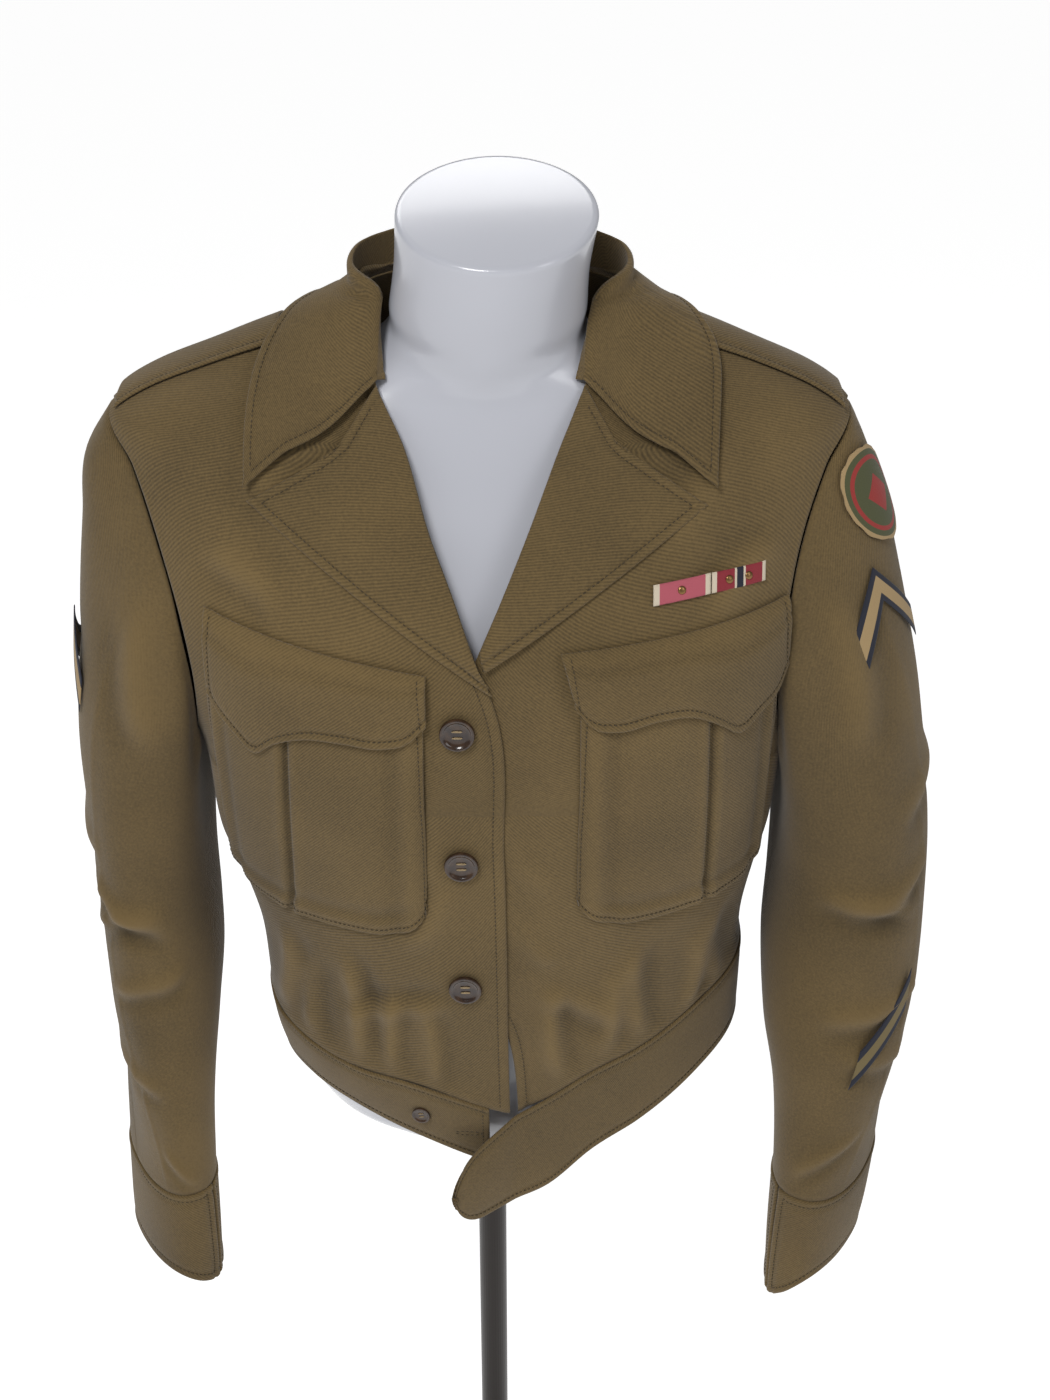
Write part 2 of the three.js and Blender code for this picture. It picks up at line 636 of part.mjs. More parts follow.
// The flap's lower edge: share of the width from the inner edge, level of the edge
const FLAPS = {
  right: {
    inner: -36, outer: -171, topInner: -120, topOuter: -94,
    edge: table(["share", "level"], [
      [0, -152], [0.06, -163], [0.14, -167], [0.3, -165], [0.45, -165], [0.6, -173],
      [0.7, -183], [0.8, -174], [0.93, -160], [1, -150],
    ]),
  },
  left: {
    inner: 44, outer: 184, topInner: -107, topOuter: -93,
    edge: table(["share", "level"], [
      [0, -142], [0.06, -154], [0.14, -157], [0.3, -152], [0.44, -153], [0.56, -163],
      [0.66, -173], [0.78, -165], [0.93, -153], [1, -140],
    ]),
  },
};
const FLAP_OUT = { atEdges: 5.8, inMiddle: 10.2 };

function flapSpot(side, u, v, out) {
  const shape = FLAPS[side];
  const slant = side === "left" ? 9 * (1 - u) * v : 0;
  const top = mix(shape.topInner, shape.topOuter, u);
  const level = mix(top, shape.edge(u).level, v);
  const x = mix(shape.inner, shape.outer, u) + slant;
  return torsoSpot(mix(frontAngle(shape.inner + slant, level), frontAngle(shape.outer, level), u), level, out);
}

function flap(side) {
  const us = [0, 0.06, 0.14, 0.3, 0.45, 0.58, 0.68, 0.8, 0.93, 1];
  const rows = grid([0, 0.12, 0.2, 0.5, 0.8, 1], us, (u, v) => {
    const full = mix(FLAP_OUT.atEdges, FLAP_OUT.inMiddle, Math.sin(Math.PI * u) ** 0.6);
    return flapSpot(side, u, v, mix(2.6, full, smooth(v / 0.3)));
  });
  return solidFromGrid(rows, DOUBLE_CLOTH - 0.4);
}

// ---------------------------------------------------------------- buttons, ribbons and badges
function buttonProfile(radius) {
  const rim = radius * 0.76;
  return [
    [0, 0], [radius * 0.85, 0], [radius, radius * 0.14], [radius * 0.94, radius * 0.32],
    [rim, radius * 0.26], [radius * 0.6, radius * 0.16], [0, radius * 0.14],
  ].map(([r, h]) => new THREE.Vector2(r, h));
}

function placedOn(geometry, spot) {
  const turn = new THREE.Quaternion().setFromUnitVectors(new THREE.Vector3(0, 0, 1), spot.normal);
  geometry.applyQuaternion(turn);
  geometry.translate(spot.point.x, spot.point.y, spot.point.z);
  return geometry;
}

function button(radius, spot) {
  const geometry = new THREE.LatheGeometry(buttonProfile(radius), 16);
  geometry.rotateX(Math.PI / 2);
  return placedOn(geometry, spot);
}

const FRONT_BUTTONS = [[-18, -158], [-17, -254], [-16, -354]];
const BAND_BUTTON = { degrees: -106.5, share: 0.5 };

// A bar made from chest points: x from and to, level of its centre, height
function ribbonBar(fromX, toX, fromLevel, toLevel, height) {
  const rows = grid([-0.5, 0.5], [0, 0.33, 0.67, 1], (u, v) => {
    return frontSpot(mix(fromX, toX, u), mix(fromLevel, toLevel, u) + v * height, 2.4);
  });
  return solidFromGrid(rows, 2);
}

// Point of a sleeve at a distance across and down from a badge's centre
function badgeSpot(side, centre, across, down, out) {
  const h = 0.01;
  const rateTurn = sleevePoint(side, centre.turn + h, centre.t)
    .distanceTo(sleevePoint(side, centre.turn - h, centre.t)) / (2 * h);
  const rateDown = sleevePoint(side, centre.turn, centre.t + h)
    .distanceTo(sleevePoint(side, centre.turn, centre.t - h)) / (2 * h);
  return sleeveSpot(side, centre.turn + across / rateTurn, centre.t + down / rateDown, out);
}

const BADGE_OUT = 1.35;
const BADGE_WALL = 0.9;

function roundPatch(side, centre, radius) {
  const rings = [0.02, 0.45, 0.8, 1];
  const rows = grid(rings, steps(20).slice(0, -1), (u, r) => {
    const angle = u * 2 * Math.PI;
    return badgeSpot(side, centre, radius * r * Math.cos(angle), radius * r * Math.sin(angle), BADGE_OUT);
  });
  return discFromRings(rows, BADGE_WALL);
}

// A closed disc: rings of spots outwards from the centre
function discFromRings(rings, wall) {
  const columns = rings[0].length;
  const vertices = [];
  for (const side of [0, 1]) {
    for (const row of rings) {
      for (const spot of row) {
        vertices.push(spot.point.clone().addScaledVector(spot.normal, -wall * side));
      }
    }
  }
  const inner = rings.length * columns;
  const index = [];
  for (let c = 0; c < columns; c += 1) {
    const next = (c + 1) % columns;
    for (let r = 0; r < rings.length - 1; r += 1) {
      const [a, b] = [r * columns + c, r * columns + next];
      index.push(a, b, b + columns, a, b + columns, a + columns);
      index.push(inner + a, inner + b + columns, inner + b, inner + a, inner + a + columns, inner + b + columns);
    }
    const [a, b] = [(rings.length - 1) * columns + c, (rings.length - 1) * columns + next];
    index.push(a, b, inner + b, a, inner + b, inner + a);
    if (c > 0 && c < columns - 1) {
      index.push(0, c + 1, c);
      index.push(inner, inner + c, inner + c + 1);
    }
  }
  return outwardGeometry(vertices, index);
}

// A strip of even width bent once: a chevron when bend is large, a slanted stripe when it is 0
function badgeStrip(side, centre, halfWidth, rise, bend, thick) {
  const rows = grid([-0.5, 0.5], [-1, -0.67, -0.33, 0, 0.33, 0.67, 1], (u, v) => {
    const down = bend * Math.abs(u) + rise * u + v * thick;
    return badgeSpot(side, centre, halfWidth * u, down, BADGE_OUT);
  });
  return solidFromGrid(rows, BADGE_WALL);
}

const SHOULDER_PATCH = { turn: 26 * DEG, t: 0.075 };
const CHEVRONS = {
  left: { turn: 50 * DEG, t: 0.13 },
  right: { turn: 8 * DEG, t: 0.245 },
};
const SERVICE_STRIPE = { turn: 65 * DEG, t: 0.716 };

// ---------------------------------------------------------------- the dress form and its stand
// up, half width, front and back (as y), centre in x; tilt: how much of the neck's forward lean
const NECK_LEAN = 16;
const form = table(
  ["up", "half", "front", "back", "middle", "square", "lean"],
  [
    [-541, 60, -48, 44, 4, 2.0, 0],
    [-536, 96, -76, 60, 5, 2.1, 0],
    [-522, 124, -98, 72, 6, 2.2, 0],
    [-500, 143, -110, 80, 7, 2.2, 0],
    [-460, 152, -115, 82, 7, 2.2, 0],
    [-400, 152, -118, 86, 6, 2.2, 0],
    [-330, 162, -122, 94, 3, 2.2, 0],
    [-250, 178, -124, 104, 0, 2.3, 0],
    [-170, 190, -123, 108, -2, 2.3, 0],
    [-110, 198, -117, 105, -3, 2.3, 0],
    [-60, 203, -94, 98, -4, 2.2, 0],
    [-25, 200, -75, 86, -4, 2.1, 0],
    [0, 193, -64, 76, -3, 2.0, 0.05],
    [16, 166, -58, 66, -3, 1.9, 0.1],
    [30, 122, -55, 57, -2, 1.8, 0.25],
    [42, 78, -56, 50, -1, 1.8, 0.45],
    [54, 62, -58, 47, 0, 1.9, 0.65],
    [70, 60, -61, 47, 1, 2.0, 0.8],
    [92, 58.5, -66, 47, 3, 2.0, 0.95],
    [124, 60, -73, 48, 6.5, 2.0, 1],
  ],
);
const FORM_LEVELS = [
  -541, -536, -522, -500, -460, -400, -330, -250, -170, -110, -60, -25, 0, 16, 30, 42, 54, 70, 92, 124,
];

function formPiece() {
  const columns = 28;
  const vertices = [];
  const index = [];
  for (const up of FORM_LEVELS) {
    const row = form(up);
    const middleY = (row.front + row.back) / 2;
    for (let c = 0; c < columns; c += 1) {
      const angle = (c / columns) * 2 * Math.PI;
      const power = 2 / row.square;
      const y = middleY + ((row.back - row.front) / 2) * signedPower(Math.sin(angle), power);
      const x = row.middle + row.half * signedPower(Math.cos(angle), power);
      vertices.push(new THREE.Vector3(x, y, up + Math.tan(NECK_LEAN * DEG) * (y - middleY) * row.lean));
    }
  }
  for (let r = 0; r < FORM_LEVELS.length - 1; r += 1) {
    for (let c = 0; c < columns; c += 1) {
      const [a, b] = [r * columns + c, r * columns + ((c + 1) % columns)];
      index.push(a, b, b + columns, a, b + columns, a + columns);
    }
  }
  const top = (FORM_LEVELS.length - 1) * columns;
  for (let c = 1; c < columns - 1; c += 1) {
    index.push(0, c + 1, c);
    index.push(top, top + c, top + c + 1);
  }
  return outwardGeometry(vertices, index);
}

function turned(profile, segments) {
  const geometry = new THREE.LatheGeometry(profile.map(([r, h]) => new THREE.Vector2(r, h)), segments);
  geometry.rotateX(Math.PI / 2);
  return geometry;
}

// ---------------------------------------------------------------- finishes and assembly
const finish = (color, roughness, metalness = 0) => new THREE.MeshStandardMaterial({ color, roughness, metalness });
const WOOL = finish(0x6b5836, 0.95);
const FORM_SHELL = finish(0xdcdce0, 0.25);
const DARK_STEEL = finish(0x2c2623, 0.4, 0.6);
const DARK_HORN = finish(0x2e2013, 0.25);

const jacket = new THREE.Group();
const formAndStand = new THREE.Group();
jacket.position.set(FORM_SHIFT, 0, SHOULDER_HEIGHT);
const model = new THREE.Group();
model.add(jacket, formAndStand);

function add(group, name, geometry, material) {
  const mesh = new THREE.Mesh(geometry, material);
  mesh.name = name;
  group.add(mesh);
}

add(jacket, "back", backPanel(), WOOL);
for (const side of ["right", "left"]) {
  add(jacket, `front_${side}`, frontPanel(side), WOOL);
  add(jacket, `lapel_${side}`, lapel(side), WOOL);
  add(jacket, `sleeve_${side}`, sleeve(side), WOOL);
  add(jacket, `cuff_${side}`, cuff(side), WOOL);
  add(jacket, `pocket_${side}`, pocket(side), WOOL);
  add(jacket, `flap_${side}`, flap(side), WOOL);
  add(jacket, `shoulder_loop_${side}`, shoulderLoop(side), WOOL);
}
add(jacket, "collar", collarPiece(), WOOL);
add(jacket, "waistband_back", waistbandPanel(-360, -180, BACK_COLUMNS, ["first column", "last column"]), WOOL);
add(jacket, "waistband_right", waistbandPanel(-180, hemAngle("right") - BAND_END_SHORT, FRONT_COLUMNS, ["first column"]), WOOL);
add(jacket, "waistband_left", leftBandWithTab(), WOOL);
FRONT_BUTTONS.forEach(([x, level], i) => {
  add(jacket, `button_${i + 1}`, button(BUTTON_RADIUS, frontSpot(x, level, GAP)), DARK_HORN);
});
add(jacket, "waistband_button",
  button(SMALL_BUTTON_RADIUS, (() => {
    const spot = bandSpot(BAND_BUTTON.degrees * DEG, BAND_BUTTON.share);
    spot.point.addScaledVector(spot.normal, GAP);
    return spot;
  })()), DARK_HORN);
add(jacket, "ribbon_bar_1", ribbonBar(99, 133.6, -78, -75, 11.5), finish(0xa04050, 0.8));
add(jacket, "ribbon_bar_2", ribbonBar(134.4, 168, -75, -74, 11.5), finish(0x8c1f2c, 0.8));
add(jacket, "shoulder_patch", roundPatch("left", SHOULDER_PATCH, 31), finish(0x4c5234, 0.9));
add(jacket, "chevron_left", badgeStrip("left", CHEVRONS.left, 34, 0, 40, 24), finish(0x20222c, 0.9));
add(jacket, "chevron_right", badgeStrip("right", CHEVRONS.right, 34, 0, 40, 24), finish(0x20222c, 0.9));
add(jacket, "service_stripe", badgeStrip("left", SERVICE_STRIPE, 22, 38, 0, 26), finish(0x20222c, 0.9));

const formLift = new THREE.Group();
formLift.position.set(FORM_SHIFT, 0, SHOULDER_HEIGHT);
formAndStand.add(formLift);
add(formLift, "form", formPiece(), FORM_SHELL);
const poleTop = SHOULDER_HEIGHT + FORM_LEVELS[0] - GAP;
add(formAndStand, "stand_pole", turned([
  [0, BASE_HEIGHT + GAP], [POLE_RADIUS, BASE_HEIGHT + GAP], [POLE_RADIUS, poleTop], [0, poleTop],
], 32), DARK_STEEL);
add(formAndStand, "stand_base", turned([
  [0, 0], [BASE_RADIUS, 0], [BASE_RADIUS, BASE_HEIGHT * 0.6], [BASE_RADIUS - 4, BASE_HEIGHT], [0, BASE_HEIGHT],
], 48), DARK_STEEL);

export default model;
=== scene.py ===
import math

import bpy
import numpy as np
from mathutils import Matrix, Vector


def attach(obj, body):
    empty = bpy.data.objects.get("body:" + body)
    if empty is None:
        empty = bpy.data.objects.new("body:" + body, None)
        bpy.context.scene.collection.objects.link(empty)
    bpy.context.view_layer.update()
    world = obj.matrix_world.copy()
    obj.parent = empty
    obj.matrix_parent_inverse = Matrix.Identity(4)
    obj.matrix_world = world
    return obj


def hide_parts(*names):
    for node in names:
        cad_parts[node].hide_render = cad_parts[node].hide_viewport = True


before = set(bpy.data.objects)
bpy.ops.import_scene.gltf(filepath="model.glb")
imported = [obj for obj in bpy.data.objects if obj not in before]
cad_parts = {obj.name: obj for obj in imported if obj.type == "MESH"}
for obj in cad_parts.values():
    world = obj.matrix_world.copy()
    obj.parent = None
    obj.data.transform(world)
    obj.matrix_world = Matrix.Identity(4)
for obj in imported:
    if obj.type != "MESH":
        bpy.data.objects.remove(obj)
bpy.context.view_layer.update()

# The tables are in millimetres: x about the dress form, level ("up") from the shoulder points.
FORM_SHIFT = 3
SHOULDER_HEIGHT = 1150
SHOULDER_SEAM_Y = 8
NECK_LEVEL = 72
CLOTH = 1.5
DOUBLE_CLOTH = 2.4
GAP = 0.35


# ---------------------------------------------------------------- small sums
def clamp(value, low, high):
    return np.minimum(np.maximum(value, low), high)


def mix(a, b, share):
    return a + (b - a) * share


def smooth(share):
    share = clamp(share, 0, 1)
    return share * share * (3 - 2 * share)


def signed_power(value, power):
    return np.sign(value) * np.abs(value) ** power


def bell(distance, width):
    return np.exp(-((distance / width) ** 2))


def steps(length, spacing):
    """Shares from 0 to 1 along a length, closer together at its two ends."""
    count = max(3, int(round(length / spacing)))
    rim = min(0.9 / length, 0.08)
    inner = np.linspace(2.6 * rim, 1 - 2.6 * rim, count)
    return np.concatenate([[0, rim], inner, [1 - rim, 1]])


class Table:
    """Rows of numbers read smoothly between their first column's values."""

    def __init__(self, rows):
        data = np.array(rows, float)
        self.at = data[:, 0]
        self.values = data[:, 1:]
        gaps = np.diff(self.at)[:, None]
        slopes = np.diff(self.values, axis=0) / gaps
        self.slopes = np.concatenate([
            slopes[:1],
            (slopes[1:] * gaps[:-1] + slopes[:-1] * gaps[1:]) / (gaps[:-1] + gaps[1:]),
            slopes[-1:],
        ])

    def __call__(self, where):
        where = clamp(np.asarray(where, float), self.at[0], self.at[-1])
        row = clamp(np.searchsorted(self.at, where, side="right") - 1, 0, len(self.at) - 2)
        gap = self.at[row + 1] - self.at[row]
        t = ((where - self.at[row]) / gap)[..., None]
        gap = gap[..., None]
        found = (
            self.values[row] * (2 * t ** 3 - 3 * t ** 2 + 1)
            + self.slopes[row] * gap * (t ** 3 - 2 * t ** 2 + t)
            + self.values[row + 1] * (3 * t ** 2 - 2 * t ** 3)
            + self.slopes[row + 1] * gap * (t ** 3 - t ** 2)
        )
        return [found[..., i] for i in range(found.shape[-1])]


# ---------------------------------------------------------------- the torso
# level, half width, front, back, middle, squareness in front and behind
torso = Table([
    [-560, 172, 136, 90, 9, 2.3, 2.3],
    [-470, 173, 138, 92, 9, 2.3, 2.3],
    [-420, 172, 139, 95, 8, 2.3, 2.3],
    [-370, 173, 141, 99, 6, 2.3, 2.3],
    [-300, 187, 143, 108, 3, 2.3, 2.3],
    [-216, 199, 144, 116, 0, 2.35, 2.3],
    [-160, 209, 143, 118, -2, 2.4, 2.3],
    [-110, 219, 138, 116, -3, 2.4, 2.3],
    [-60, 227, 117, 109, -5, 2.35, 2.3],
    [-25, 231, 96, 98, -5, 2.3, 2.3],
    [0, 232, 78, 86, -5, 2.3, 2.3],
    [18, 208, 66, 77, -3, 2.3, 2.1],
    [31, 180, 55, 71, -1, 2.3, 1.9],
    [44, 151, 42, 66, 0, 2.3, 1.75],
    [56, 121, 33, 62, 1, 2.3, 1.7],
    [66, 96, 30, 60, 2, 2.2, 1.8],
    [72, 81, 28, 59, 2, 2.2, 2.0],
])


def torso_point(angle, up):
    half, front, back, middle, front_square, back_square = torso(up)
    ahead = np.sin(angle) < 0
    power = 2 / np.where(ahead, front_square, back_square)
    depth = np.where(ahead, front, back)
    x = middle + half * signed_power(np.cos(angle), power)
    y = SHOULDER_SEAM_Y + depth * signed_power(np.sin(angle), power)
    return np.stack([x, y, up + 0 * x], axis=-1)


def unit(vectors):
    length = np.linalg.norm(vectors, axis=-1, keepdims=True)
    return vectors / np.maximum(length, 1e-9)


def torso_normal(angle, up):
    level = clamp(up, -559, NECK_LEVEL - 0.6)
    across = torso_point(angle + 0.01, level) - torso_point(angle - 0.01, level)
    along = torso_point(angle, level + 0.5) - torso_point(angle, level - 0.5)
    return unit(np.cross(across, along))


def on_torso(angle, up, out=0.0):
    angle, up = np.broadcast_arrays(np.asarray(angle, float), np.asarray(up, float))
    lift = np.asarray(out + 0 * angle)[..., None]
    return torso_point(angle, up) + torso_normal(angle, up) * lift


def front_angle(x, up):
    half, front, back, middle, front_square, back_square = torso(up)
    share = clamp((x - middle) / half, -1, 1)
    return -np.arccos(signed_power(share, front_square / 2))


def on_front(x, up, out=0.0):
    x, up = np.broadcast_arrays(np.asarray(x, float), np.asarray(up, float))
    return on_torso(front_angle(x, up), up, out)


def torso_reach(points):
    half, front, back, middle, front_square, back_square = torso(points[..., 2])
    dx = np.abs((points[..., 0] - middle) / half)
    dy = points[..., 1] - SHOULDER_SEAM_Y
    depth = np.abs(dy / np.where(dy < 0, front, back))
    power = np.where(dy < 0, front_square, back_square)
    return (dx ** power + depth ** power) ** (1 / power) - 1


def torso_clearance(points):
    way = np.stack([
        torso_reach(points + step) - torso_reach(points - step)
        for step in np.eye(3) * 0.5
    ], axis=-1)
    rate = np.maximum(np.linalg.norm(way, axis=-1), 1e-9)
    return torso_reach(points) / rate, way / rate[..., None]


def keep_clear(points, clearance):
    for _ in range(4):
        distance, way = torso_clearance(points)
        points = points + way * np.maximum(clearance - distance, 0)[..., None]
    return points


# ---------------------------------------------------------------- finishes
def material(name, color, roughness, sheen=0.0, coat=0.0, metallic=0.0):
    made = bpy.data.materials.new(name)
    made.use_nodes = True
    shader = made.node_tree.nodes["Principled BSDF"]
    shader.inputs["Base Color"].default_value = (*color, 1)
    shader.inputs["Roughness"].default_value = roughness
    shader.inputs["Metallic"].default_value = metallic
    shader.inputs["Sheen Weight"].default_value = sheen
    shader.inputs["Sheen Roughness"].default_value = 0.5
    shader.inputs["Coat Weight"].default_value = coat
    shader.inputs["Coat Roughness"].default_value = 0.12
    return made


def ramp(tree, source, stops, constant=False):
    node = tree.nodes.new("ShaderNodeValToRGB")
    if constant:
        node.color_ramp.interpolation = "CONSTANT"
    elements = node.color_ramp.elements
    while len(elements) < len(stops):
        elements.new(0.5)
    for element, (position, color) in zip(elements, stops):
        element.position = position
        element.color = (*color, 1)
    tree.links.new(source, node.inputs[0])
    return node.outputs[0]


def math_node(tree, operation, first, second=None):
    node = tree.nodes.new("ShaderNodeMath")
    node.operation = operation
    for socket, value in zip(node.inputs, (first, second)):
        if value is None:
            continue
        if isinstance(value, (int, float)):
            socket.default_value = value
        else:
            tree.links.new(value, socket)
    return node.outputs[0]


def noise(tree, scale, detail=2.0):
    coords = tree.nodes.new("ShaderNodeTexCoord")
    node = tree.nodes.new("ShaderNodeTexNoise")
    node.inputs["Scale"].default_value = scale
    node.inputs["Detail"].default_value = detail
    tree.links.new(coords.outputs["Object"], node.inputs["Vector"])
    return node.outputs[0]


def twill(tree, spacing):
    """Fine diagonal lines on the cloth's own flat measure, in metres."""
    coords = tree.nodes.new("ShaderNodeTexCoord")
    wave = tree.nodes.new("ShaderNodeTexWave")
    wave.bands_direction = "DIAGONAL"
    wave.inputs["Scale"].default_value = 2 * math.pi / (10 * spacing * math.sqrt(2))
    wave.inputs["Distortion"].default_value = 1.2
    wave.inputs["Detail Scale"].default_value = 0.6
    tree.links.new(coords.outputs["UV"], wave.inputs["Vector"])
    return wave.outputs["Fac"]


def bump(tree, height, strength, distance):
    node = tree.nodes.new("ShaderNodeBump")
    node.inputs["Strength"].default_value = strength
    node.inputs["Distance"].default_value = distance
    tree.links.new(height, node.inputs["Height"])
    tree.links.new(node.outputs[0], tree.nodes["Principled BSDF"].inputs["Normal"])


def wool_cloth(name, dark, light):
    made = material(name, light, 0.92, sheen=0.12)
    tree = made.node_tree
    lines = twill(tree, 0.0017)
    nap = noise(tree, 620, 4)
    patches = noise(tree, 9, 3)
    # Painted shade and light: the cloth's relief height darkens its colour in crease valleys, seams and stitch
    # grooves, and lightens it on ridges.
    fold_shade = tree.nodes.new("ShaderNodeAttribute")
    fold_shade.attribute_name = "fold_shade"
    tone = math_node(tree, "MULTIPLY", patches, 0.5)
    tone = math_node(tree, "ADD", tone, math_node(tree, "MULTIPLY", nap, 0.45))
    tone = math_node(tree, "ADD", tone, math_node(tree, "MULTIPLY", lines, 0.22))
    tone = math_node(tree, "ADD", tone, math_node(tree, "MULTIPLY", fold_shade.outputs["Fac"], 0.05))
    color = ramp(tree, tone, [(0.3, dark), (0.82, light)])
    tree.links.new(color, tree.nodes["Principled BSDF"].inputs["Base Color"])
    height = math_node(tree, "ADD", math_node(tree, "MULTIPLY", lines, 0.6), nap)
    bump(tree, height, 0.5, 0.0005)
    return made


def plain_cloth(name, color, grain=0.25):
    made = material(name, color, 0.88, sheen=0.08)
    tree = made.node_tree
    grains = noise(tree, 900, 3)
    dark = tuple(c * (1 - grain) for c in color)
    light = tuple(min(1, c * (1 + grain)) for c in color)
    found = ramp(tree, grains, [(0.3, dark), (0.7, light)])
    tree.links.new(found, tree.nodes["Principled BSDF"].inputs["Base Color"])
    bump(tree, grains, 0.4, 0.0004)
    return made


def striped(name, stops, across="X"):
    """Cloth woven in stripes across its flat measure, which runs from 0 to 1."""
    made = plain_cloth(name, (0.1, 0.1, 0.1))
    tree = made.node_tree
    coords = tree.nodes.new("ShaderNodeTexCoord")
    parts = tree.nodes.new("ShaderNodeSeparateXYZ")
    tree.links.new(coords.outputs["UV"], parts.inputs[0])
    color = ramp(tree, parts.outputs[across], stops, constant=True)
    tree.links.new(color, tree.nodes["Principled BSDF"].inputs["Base Color"])
    return made


OLIVE_DARK = (0.055, 0.036, 0.012)
OLIVE_LIGHT = (0.175, 0.115, 0.041)
NAVY = (0.012, 0.014, 0.026)
TAN = (0.36, 0.25, 0.12)
CREAM = (0.6, 0.52, 0.4)

WOOL = wool_cloth("wool twill", OLIVE_DARK, OLIVE_LIGHT)
HORN = material("horn button", (0.03, 0.014, 0.008), 0.22, coat=0.35)
horn_tree = HORN.node_tree
horn_color = ramp(horn_tree, noise(horn_tree, 180, 3), [(0.35, (0.018, 0.008, 0.005)), (0.7, (0.06, 0.03, 0.014))])
horn_tree.links.new(horn_color, horn_tree.nodes["Principled BSDF"].inputs["Base Color"])
THREAD = plain_cloth("pale thread", (0.3, 0.22, 0.12))
SEWING = plain_cloth("sewing thread", (0.05, 0.034, 0.013))
SHELL = material("form shell", (0.5, 0.51, 0.56), 0.22, coat=0.3)
shell_tree = SHELL.node_tree
bump(shell_tree, noise(shell_tree, 14, 2), 0.05, 0.002)
STEEL = material("dark steel", (0.022, 0.018, 0.016), 0.38, metallic=0.6)
steel_tree = STEEL.node_tree
bump(steel_tree, noise(steel_tree, 240, 2), 0.12, 0.0004)
BRONZE = material("bronze", (0.26, 0.15, 0.06), 0.35, metallic=0.9)
bump(BRONZE.node_tree, noise(BRONZE.node_tree, 900, 2), 0.2, 0.0003)
ROSE = (0.42, 0.09, 0.12)
CRIMSON = (0.24, 0.02, 0.03)
RIBBON_ROSE = striped("rose ribbon", [(0, CREAM), (0.1, ROSE), (0.9, CREAM)])
RIBBON_CRIMSON = striped("crimson ribbon", [
    (0, CREAM), (0.08, CRIMSON), (0.4, CREAM), (0.44, NAVY), (0.56, CREAM), (0.6, CRIMSON), (0.92, CREAM),
])
CHEVRON = striped("chevron cloth", [(0, NAVY), (0.24, TAN), (0.76, NAVY)], across="Y")
SERVICE = striped("service stripe cloth", [(0, NAVY), (0.28, (0.16, 0.12, 0.05)), (0.72, NAVY)], across="Y")


def patch_cloth():
    """A round patch: tan rim, red ring, olive field and a plain lozenge of my own in the middle."""
    made = plain_cloth("patch felt", (0.1, 0.1, 0.05))
    tree = made.node_tree
    coords = tree.nodes.new("ShaderNodeTexCoord")
    parts = tree.nodes.new("ShaderNodeSeparateXYZ")
    tree.links.new(coords.outputs["UV"], parts.inputs[0])
    length = tree.nodes.new("ShaderNodeVectorMath")
    length.operation = "LENGTH"
    tree.links.new(coords.outputs["UV"], length.inputs[0])
    rings = ramp(tree, length.outputs["Value"], [
        (0, (0.07, 0.075, 0.03)), (0.7, (0.3, 0.03, 0.025)), (0.8, (0.07, 0.075, 0.03)), (0.92, TAN),
    ], constant=True)
    across = math_node(tree, "ABSOLUTE", parts.outputs["X"])
    along = math_node(tree, "ABSOLUTE", parts.outputs["Y"])
    inside = math_node(tree, "LESS_THAN", math_node(tree, "ADD", across, along), 0.42)
    blend = tree.nodes.new("ShaderNodeMix")
    blend.data_type = "RGBA"
    tree.links.new(inside, blend.inputs[0])
    tree.links.new(rings, blend.inputs[6])
    blend.inputs[7].default_value = (0.3, 0.03, 0.025, 1)
    tree.links.new(blend.outputs[2], tree.nodes["Principled BSDF"].inputs["Base Color"])
    return made


PATCH = patch_cloth()


# ---------------------------------------------------------------- meshes from grids
def in_metres(points):
    return (points + np.array([FORM_SHIFT, 0, SHOULDER_HEIGHT])) / 1000


def shown_name(name):
    """The CAD node keeps its own name, so the piece shown for it has a longer one."""
    return f"{name}_look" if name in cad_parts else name


def mesh_object(name, points, faces, paint, uvs=None, fold_shade_heights=None):
    """A smooth object of these points (in millimetres), turned so that its faces look outwards."""
    points = in_metres(points)
    volume = 0.0
    corner = points[[f[0] for f in faces]]
    for second, third in ((1, 2), (2, 3)):
        there = [f for f in faces if len(f) > third]
        a = points[[f[0] for f in there]]
        b = points[[f[second] for f in there]]
        c = points[[f[third] for f in there]]
        volume += float(np.sum(a * np.cross(b, c)))
    if volume < 0:
        faces = [f[::-1] for f in faces]
    mesh = bpy.data.meshes.new(name)
    mesh.from_pydata(points.tolist(), [], faces)
    mesh.materials.append(paint)
    if uvs is not None:
        layer = mesh.uv_layers.new(name="cloth")
        corners = np.empty(len(mesh.loops), dtype=np.int32)
        mesh.loops.foreach_get("vertex_index", corners)
        layer.data.foreach_set("uv", uvs[corners].astype(np.float32).ravel())
    # Relief height kept for the wool's painted shade (darker in creases, seams and stitch grooves) and painted light
    # on ridges.
    if fold_shade_heights is not None:
        mesh.attributes.new("fold_shade", "FLOAT", "POINT").data.foreach_set("value", fold_shade_heights.astype(np.float32))
    mesh.shade_smooth()
    mesh.update()
    made = bpy.data.objects.new(shown_name(name), mesh)
    bpy.context.scene.collection.objects.link(made)
    return made


def grid_normals(points, around):
    if around:
        across = np.roll(points, -1, axis=1) - np.roll(points, 1, axis=1)
    else:
        across = np.gradient(points, axis=1)
    return unit(np.cross(across, np.gradient(points, axis=0)))


def lengths(points, axis):
    """How far each spot of the grid lies along its row (axis 1) or column (axis 0)."""
    gaps = np.linalg.norm(np.diff(points, axis=axis), axis=2)
    start = np.zeros((1, points.shape[1])) if axis == 0 else np.zeros((points.shape[0], 1))
    return np.concatenate([start, np.cumsum(gaps, axis=axis)], axis=axis)


def edge_distances(points):
    across = lengths(points, 1)
    down = lengths(points, 0)
    return {
        "first": across,
        "last": across[:, -1:] - across,
        "top": down,
        "bottom": down[-1:] - down,
    }


sewn_lines = []


